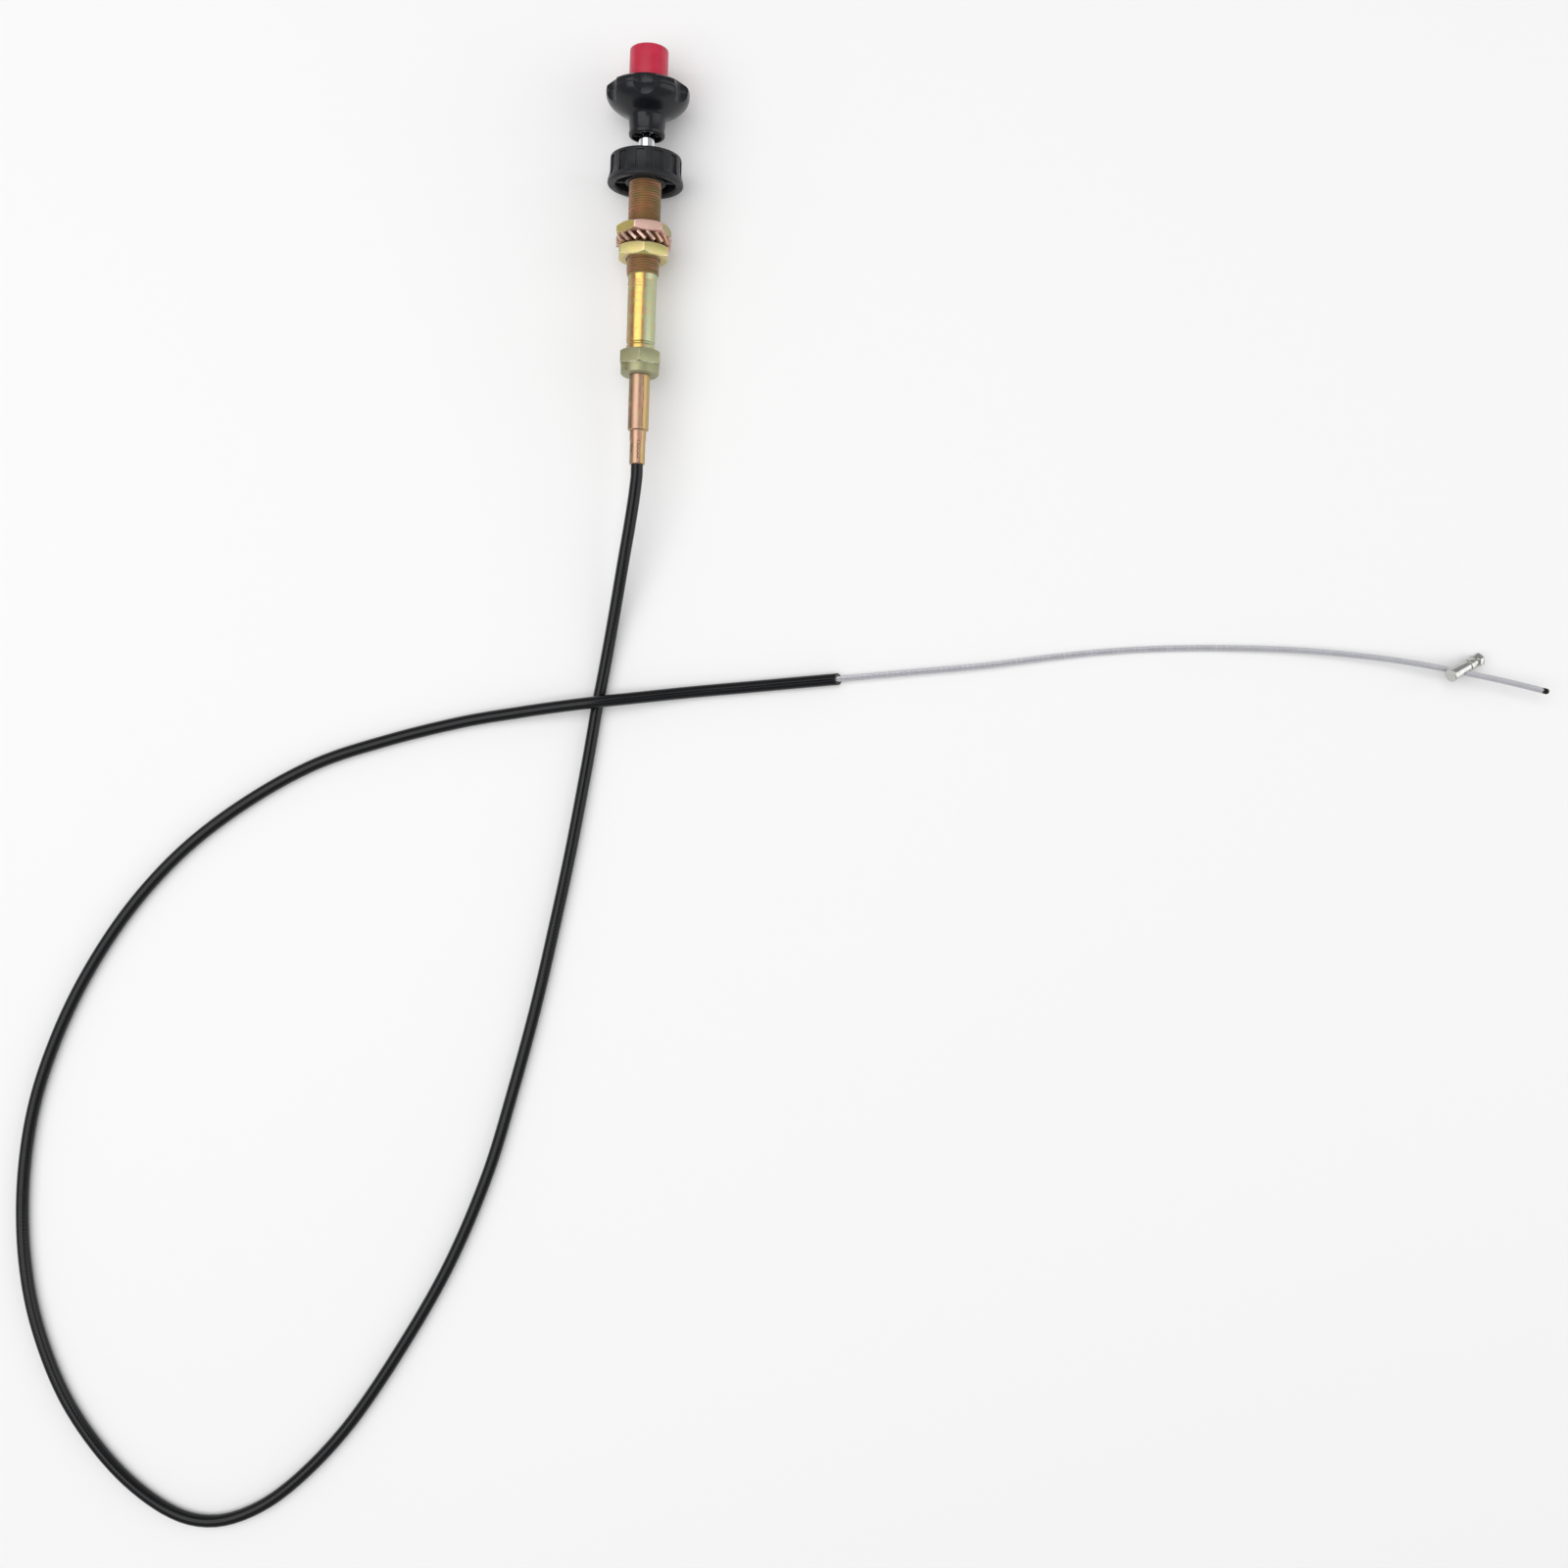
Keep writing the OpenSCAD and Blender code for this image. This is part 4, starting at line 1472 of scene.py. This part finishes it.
@dataclass
class FrictionNut(Assembly):
    """The black friction nut: fluted grip, flange, and a spoked hub round its thread."""

    base: float = 34.6
    top: float = 48.9
    hub_base: float = 36.1
    flange: float = 18.75
    grip: float = 17.5
    thread: float = 8.06
    flutes: int = 12
    flute_size: Spot = (4.6, 5.0, 9.6)
    flute_middle: float = 42.4
    flute_depth: float = 1.2
    flute_turn: float = 0.85
    spokes: int = 6

    def build(self) -> None:
        """Make the nut."""
        low, top, grip, thread = self.base, self.top, self.grip, self.thread
        outline = [
            (thread, self.hub_base, 0.3), (10.0, self.hub_base, 0.3), (10.0, 45.5), (14.6, 45.5),
            (14.6, 35.6, 0.3), (15.4, low, 0.5), (18.0, low, 0.6), (self.flange, 35.5, 0.6),
            (18.4, 37.6, 0.6), (17.85, 39.0, 0.8), (grip, 41.0, 0.8), (grip, top, 1.2),
            (10.5, top, 0.6), (9.8, 48.3, 0.4), (4.35, 48.3), (4.35, 46.5), (thread, 46.5),
        ]
        nut = turned("FrictionNut.grip", eased(outline), 144)
        start = self.flute_turn * 360.0 / self.flutes
        combine(nut, copies_round(self.flute(), self.flutes, start), Cut.AWAY)
        soften(nut, 0.2, 38.0, 2)
        spoke = soften(block("spoke", (1.6, 5.2, 9.6), (0.0, -12.3, 41.2)), 0.25)
        join(nut, copies_round(spoke, self.spokes, 30.0))
        plan = [(nut, GRIP_BLACK, "friction_nut_body", "friction_black", "friction_nut")]
        self.deliver(plan, 30.0)

    def flute(self) -> Piece:
        """Make the cutter of one flute, with rounded ends.

        Returns:
            The cutter, at the front.
        """
        aside = self.grip - self.flute_depth + self.flute_size[1] / 2
        cutter = block("flute", self.flute_size, (0.0, -aside, self.flute_middle))
        return soften(cutter, 0.3, 30.0, 3)


@dataclass
class PanelHub(Assembly):
    """The threaded hub, with its helical thread, run-out, smooth tube and rolled groove."""

    crest: float = 8.0
    crest_round: float = 0.06
    root: float = 7.35
    pitch: float = 1.25
    thread_low: float = -10.4
    thread_high: float = 41.4
    tube: float = 7.0
    bore: float = 5.1
    bed: float = 7.15
    fade_turns: float = 0.7
    steps: int = 56

    def build(self) -> None:
        """Make the hub's tube and its thread."""
        tube = turned("Hub.tube", eased(self.outline()), 128)
        self.deliver([(tube, ZINC_GOLD, "hub_body", "zinc_gold", "hub_tube")], 25.0)
        self.deliver([(self.thread(), ZINC_THREAD, "hub_body", "zinc_gold")], 25.0)

    def outline(self) -> Outline:
        """Draw the section of everything but the thread's ridge.

        Returns:
            Its (radius, station) points, in millimetres.
        """
        r = self.tube
        return [
            (self.bore, -53.0), (6.8, -53.0), (6.8, -46.4), (r, -46.4), (r, -44.0, 0.3),
            (6.5, -43.5, 0.3), (6.5, -42.9, 0.3), (r, -42.4, 0.3), (r, -15.9), (6.88, -15.75),
            (6.88, -15.6), (r, -15.45), (r, -14.3), (7.12, -14.1), (7.12, -13.0), (r, -12.8),
            (r, -11.6), (7.2, -10.6), (7.2, 41.5), (r, 42.0, 0.2), (self.bore, 42.0),
        ]

    def thread(self) -> Piece:
        """Wind the thread's ridge round the hub.

        Returns:
            The ridge, closed at both ends.
        """
        low, high = self.thread_low, self.thread_low + self.pitch - 0.02
        crest, flank = self.crest, self.crest - self.crest_round
        section = [(self.bed, low), (self.root, low), (flank, low + 0.53), (crest, low + 0.59)]
        section += [(crest, low + 0.64), (flank, low + 0.7), (self.root, high), (self.bed, high)]
        ridge = drawn("Hub.thread", section)
        bpy.ops.mesh.select_all(action="SELECT")
        bpy.ops.mesh.edge_face_add()
        bpy.ops.object.mode_set(mode="OBJECT")
        turns = (self.thread_high - self.thread_low - self.pitch) / self.pitch
        modifier = ridge.modifiers.new("wind", "SCREW")
        modifier.axis = "Z"
        modifier.angle = math.tau * turns
        modifier.steps = modifier.render_steps = int(self.steps * turns)
        modifier.iterations = 1
        modifier.screw_offset = turns * self.pitch * MM
        modifier.use_merge_vertices = False
        apply_modifiers(ridge)
        self.run_out(ridge, turns)
        bpy.ops.object.mode_set(mode="EDIT")
        tidy_shell()
        return ridge

    def run_out(self, ridge: Piece, turns: float) -> None:
        """Let the ridge sink into the hub at both of its ends.

        Args:
            ridge: The wound ridge.
            turns: The number of its turns.
        """
        middle = self.thread_low + self.pitch / 2
        for vertex in ridge.data.vertices:
            spot = vertex.co / MM
            around = (math.atan2(spot.y, spot.x) / math.tau) % 1.0
            turn = around + round((spot.z - middle) / self.pitch - around)
            height = max(0.0, min(1.0, min(turn, turns - turn) / self.fade_turns))
            radius = self.bed + (math.hypot(spot.x, spot.y) - self.bed) * height
            vertex.co.xy *= radius / math.hypot(spot.x, spot.y)


@dataclass
class PanelNuts(Assembly):
    """The two panel nuts and the lock washer with twisted teeth between them."""

    across: float = 24.0
    bore: float = 8.06
    countersink: float = 0.8
    upper: tuple[float, float] = (9.7, 15.2)
    lower: tuple[float, float] = (-1.7, 4.6)
    upper_turn: float = 14.5
    lower_turn: float = 37.0
    teeth: int = 18
    tooth_size: Spot = (1.5, 3.2, 5.6)
    tooth_radius: float = 11.9
    lean: float = 46.0
    ring: tuple[float, float] = (8.3, 10.6)
    ring_half: float = 0.6

    @property
    def middle(self) -> float:
        """Station of the washer's middle, halfway between the nuts."""
        return (self.upper[0] + self.lower[1]) / 2

    def nut(self, name: str, low: float, high: float, turn: float) -> Piece:
        """Mill one hexagon nut with chamfered corners and a countersunk bore.

        Args:
            name: The piece's name.
            low: Station of its lower face, in millimetres.
            high: Station of its upper face.
            turn: Azimuth of a corner, in degrees.

        Returns:
            The nut.
        """
        corner = self.across / math.sqrt(3.0)
        nut = soften(bar(name, low, high, corner, 6, turn), 0.7, 40.0, 4)
        face, over = self.across / 2 - 0.5, corner + 0.2
        rise = (over - face) * math.tan(math.radians(30.0))
        mouth, sink = self.bore + 0.79, self.countersink
        outline = [(mouth, low), (face, low), (over, low + rise), (over, high - rise), (face, high)]
        outline += [(mouth, high), (self.bore, high - sink), (self.bore, low + sink)]
        combine(nut, (turned("chamfer", outline, 128),), Cut.COMMON)
        return soften(nut, 0.3, 22.0, 3)

    def washer(self) -> Piece:
        """Make the twisted teeth.

        Returns:
            The teeth, as one piece.
        """
        tooth = soften(block("Washer.teeth", self.tooth_size, (0.0, 0.0, 0.0)), 0.25)
        place = Matrix.Translation((0.0, -self.tooth_radius * MM, self.middle * MM))
        bake_place(tooth, place @ Matrix.Rotation(math.radians(-self.lean), 4, "Y"))
        teeth = copies_round(tooth, self.teeth)
        return join(teeth[0], teeth[1:])

    def washer_ring(self) -> Piece:
        """Make the washer's ring, in near-black painted shade, since it lies in the shade of its
        teeth.

        Returns:
            The ring.
        """
        low, high = self.middle - self.ring_half, self.middle + self.ring_half
        inner, outer = self.ring
        outline = [(inner, low), (outer, low, 0.2), (outer, high, 0.2), (inner, high)]
        return turned("Washer.ring", eased(outline), 96)

    def build(self) -> None:
        """Make the nuts and the washer."""
        upper = self.nut("Nut.upper", *self.upper, self.upper_turn)
        lower = self.nut("Nut.lower", *self.lower, self.lower_turn)
        plan = (
            (upper, ZINC_PINK, "hub_body", "zinc_pink", "upper_panel_nut"),
            (lower, ZINC_LEMON, "lower_nut_body", "zinc_gold", "lower_panel_nut"),
            (self.washer(), ZINC_TEETH, "washer_body", "zinc_pink", "lock_washer"),
            # The ring gets painted shade.
            (self.washer_ring(), ZINC_PAINTED_SHADE, "washer_body", "zinc_pink"),
        )
        self.deliver(plan, 28.0)


@dataclass
class Gland(Assembly):
    """The gland nut with its round collar, and the ferrule crimped on the conduit."""

    across: float = 19.2
    top: float = -46.4
    step: float = -53.3
    base: float = -58.6
    turn: float = 33.0
    ferrule_end: float = -102.1
    crimps: tuple[float, ...] = (-91.6, -93.9, -96.2, -98.5)
    crimp_radius: float = 1.1
    crimp_spot: float = 4.25
    crimp_aside: float = 12.0

    def nut(self) -> Piece:
        """Mill the gland nut from a hexagon and a turned collar.

        Returns:
            The nut with its collar.
        """
        corner, step, base, top = self.across / math.sqrt(3.0), self.step, self.base, self.top
        nut = soften(bar("Gland.nut", step - 0.4, top, corner, 6, self.turn), 0.3, 40.0, 3)
        face, over = self.across / 2 - 0.3, corner + 0.2
        rise = (over - face) * math.tan(math.radians(32.0))
        outline = [(6.9, step), (over - 0.9, step), (over, step + 0.9)]
        outline += [(over, top - rise), (face, top), (6.9, top)]
        combine(nut, (turned("chamfer", outline, 128),), Cut.COMMON)
        soften(nut, 0.12, 22.0, 2)
        outline = [
            (5.2, base), (8.5, base, 0.15), (9.4, base + 0.9, 0.15), (9.4, step + 0.3, 0.2),
            (9.1, step + 0.3), (9.1, -50.0), (6.9, -50.0), (6.9, -56.0), (5.2, -56.0),
        ]
        return join(nut, (turned("collar", eased(outline), 128),))

    def ferrule(self) -> Piece:
        """Turn the stepped ferrule and press its crimps.

        Returns:
            The ferrule.
        """
        end = self.ferrule_end
        outline = [
            (3.02, end), (3.55, end, 0.15), (3.8, -101.7, 0.15), (3.8, -91.0), (4.0, -90.0, 0.3),
            (4.0, -86.1), (4.25, -85.5, 0.2), (5.1, -85.2, 0.25), (5.1, -55.9), (6.7, -55.9),
            (6.7, -53.6), (4.2, -53.6), (4.2, -83.0), (2.6, -83.0), (2.6, -88.0), (3.02, -88.0),
        ]
        ferrule = turned("Gland.ferrule", eased(outline), 112)
        for station in self.crimps:
            clear_selection()
            radius = self.crimp_radius * MM
            bpy.ops.mesh.primitive_uv_sphere_add(segments=28, ring_count=16, radius=radius)
            dent = bpy.context.object
            dent.scale = (0.85, 1.0, 1.05)
            bake_place(dent, Matrix.Translation((0.0, -self.crimp_spot * MM, station * MM)))
            bake_place(dent, Matrix.Rotation(math.radians(self.crimp_aside), 4, "Z"))
            combine(ferrule, (dent,), Cut.AWAY)
        return soften(ferrule, 0.1, 34.0, 2)

    def build(self) -> None:
        """Make the nut and the ferrule."""
        plan = (
            (self.nut(), ZINC_OLIVE, "hub_body", "zinc_olive", "gland_nut"),
            (self.ferrule(), ZINC_ROSE, "hub_body", "zinc_rose", "ferrule"),
        )
        self.deliver(plan, 28.0)


@dataclass
class HiddenWorks(Assembly):
    """The frame's own inner parts, which keep their shapes and get their finishes."""

    finishes: dict[str, Finish] = field(
        default_factory=lambda: {
            "guide_bush": BRONZE,
            "ferrule_seal": SEAL_RUBBER,
            "knob_insert": BRONZE,
            "shaft_end_cap": PLAIN_STEEL,
            "stop_ring": PLAIN_STEEL,
            "release_pin": PLAIN_STEEL,
            "lock_ball_left": CHROME,
            "lock_ball_right": CHROME,
            "wire_swivel": PLAIN_STEEL,
            "core_wire_inner": PLAIN_STEEL,
            "friction_ring": LINER_WHITE,
        }
    )

    def build(self) -> None:
        """Dress every inner part."""
        for node, finish in self.finishes.items():
            self.shop.dress(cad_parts[node], finish)
            log.info("%s keeps its own shape", node)


@dataclass(frozen=True)
class Softbox:
    """A rectangular soft light that faces the head, in metres and watts."""

    name: str
    spot: Spot
    size: tuple[float, float]
    power: float
    target: Spot = (0.0, -0.1, 0.0)

    def hang(self) -> None:
        """Hang the light."""
        data = bpy.data.lights.new(self.name, "AREA")
        data.shape = "RECTANGLE"
        data.size, data.size_y = self.size
        data.energy = self.power
        light = bpy.data.objects.new(self.name, data)
        light.location = self.spot
        way = Vector(self.target) - Vector(self.spot)
        light.rotation_euler = way.to_track_quat("-Z", "Y").to_euler()
        bpy.context.collection.objects.link(light)


@dataclass
class Studio:
    """The pale floor, the soft lights and the camera."""

    eye: Spot = (0.0771, -0.2571, 0.84)
    roll: float = 1.725
    lens: float = 38.25
    sensor: float = 36.0
    flag_offset: Spot = (0.03, 0.05, 0.1)
    flag_size: Spot = (0.36, 0.6, 1.0)
    floor_side: float = 8.0
    world_strength: float = 0.42
    lights: tuple[Softbox, ...] = (
        Softbox("Softbox.left", (-0.62, -0.15, 1.9), (2.2, 2.8), 34.0),
        Softbox("Softbox.right", (1.85, -0.15, 0.75), (1.45, 2.2), 13.0),
    )

    def set_camera(self) -> None:
        """Put the camera over the object, looking straight down."""
        data = bpy.data.cameras.new("Camera")
        data.lens = self.lens
        data.sensor_width = self.sensor
        data.clip_start, data.clip_end = 0.01, 20.0
        camera = bpy.data.objects.new("Camera", data)
        camera.location = self.eye
        camera.rotation_euler = (0.0, 0.0, math.radians(self.roll))
        bpy.context.collection.objects.link(camera)
        bpy.context.scene.camera = camera

    def sheet(self, name: str, side: float, spot: Vector, surface: dict[str, object]) -> Piece:
        """Lay one level sheet of the studio.

        Args:
            name: The sheet's name.
            side: Its side, in metres.
            spot: Its middle, in metres.
            surface: Values for its surface shader.

        Returns:
            The sheet.
        """
        clear_selection()
        bpy.ops.mesh.primitive_plane_add(size=side, location=spot)
        piece = bpy.context.object
        piece.name = name
        material = bpy.data.materials.new(name)
        material.use_nodes = True
        for key, value in surface.items():
            material.node_tree.nodes["Principled BSDF"].inputs[key].default_value = value
        piece.data.materials.append(material)
        return piece

    def build(self) -> None:
        """Lay the floor, hang the lights and a flag, and set the world's even light.

        The flag hangs round the camera and only shows as a dark band in shiny pieces.
        """
        paper = {"Base Color": (0.9, 0.9, 0.9, 1.0), "Roughness": 0.9, "Specular IOR Level": 0.1}
        self.sheet("Floor", self.floor_side, Vector(), paper)
        for light in self.lights:
            light.hang()
        spot = Vector(self.eye) + Vector(self.flag_offset)
        flag = self.sheet("Flag", 1.0, spot, {"Base Color": (0.01, 0.01, 0.01, 1.0)})
        flag.scale = self.flag_size
        flag.visible_camera = flag.visible_diffuse = flag.visible_shadow = False
        world = bpy.data.worlds.new("Studio")
        world.use_nodes = True
        sky = world.node_tree.nodes["Background"].inputs
        sky["Color"].default_value = (1.0, 1.0, 1.0, 1.0)
        sky["Strength"].default_value = self.world_strength
        bpy.context.scene.world = world
        bpy.context.scene.view_settings.view_transform = "Standard"


def main() -> None:
    """Build every sub-assembly in order and report each piece."""
    logging.basicConfig(level=logging.INFO, format="%(name)s: %(message)s")
    studio = Studio()
    studio.set_camera()
    shop = Shop()
    conduit = Conduit(shop)
    conduit.build()
    clamp_pieces = WireClamp(shop).build()
    CoreWire(shop, conduit).build(clamp_pieces)
    for assembly in (Knob, FrictionNut, PanelHub, PanelNuts, Gland, HiddenWorks):
        assembly(shop).build()
    studio.build()


if __name__ == "__main__":
    main()
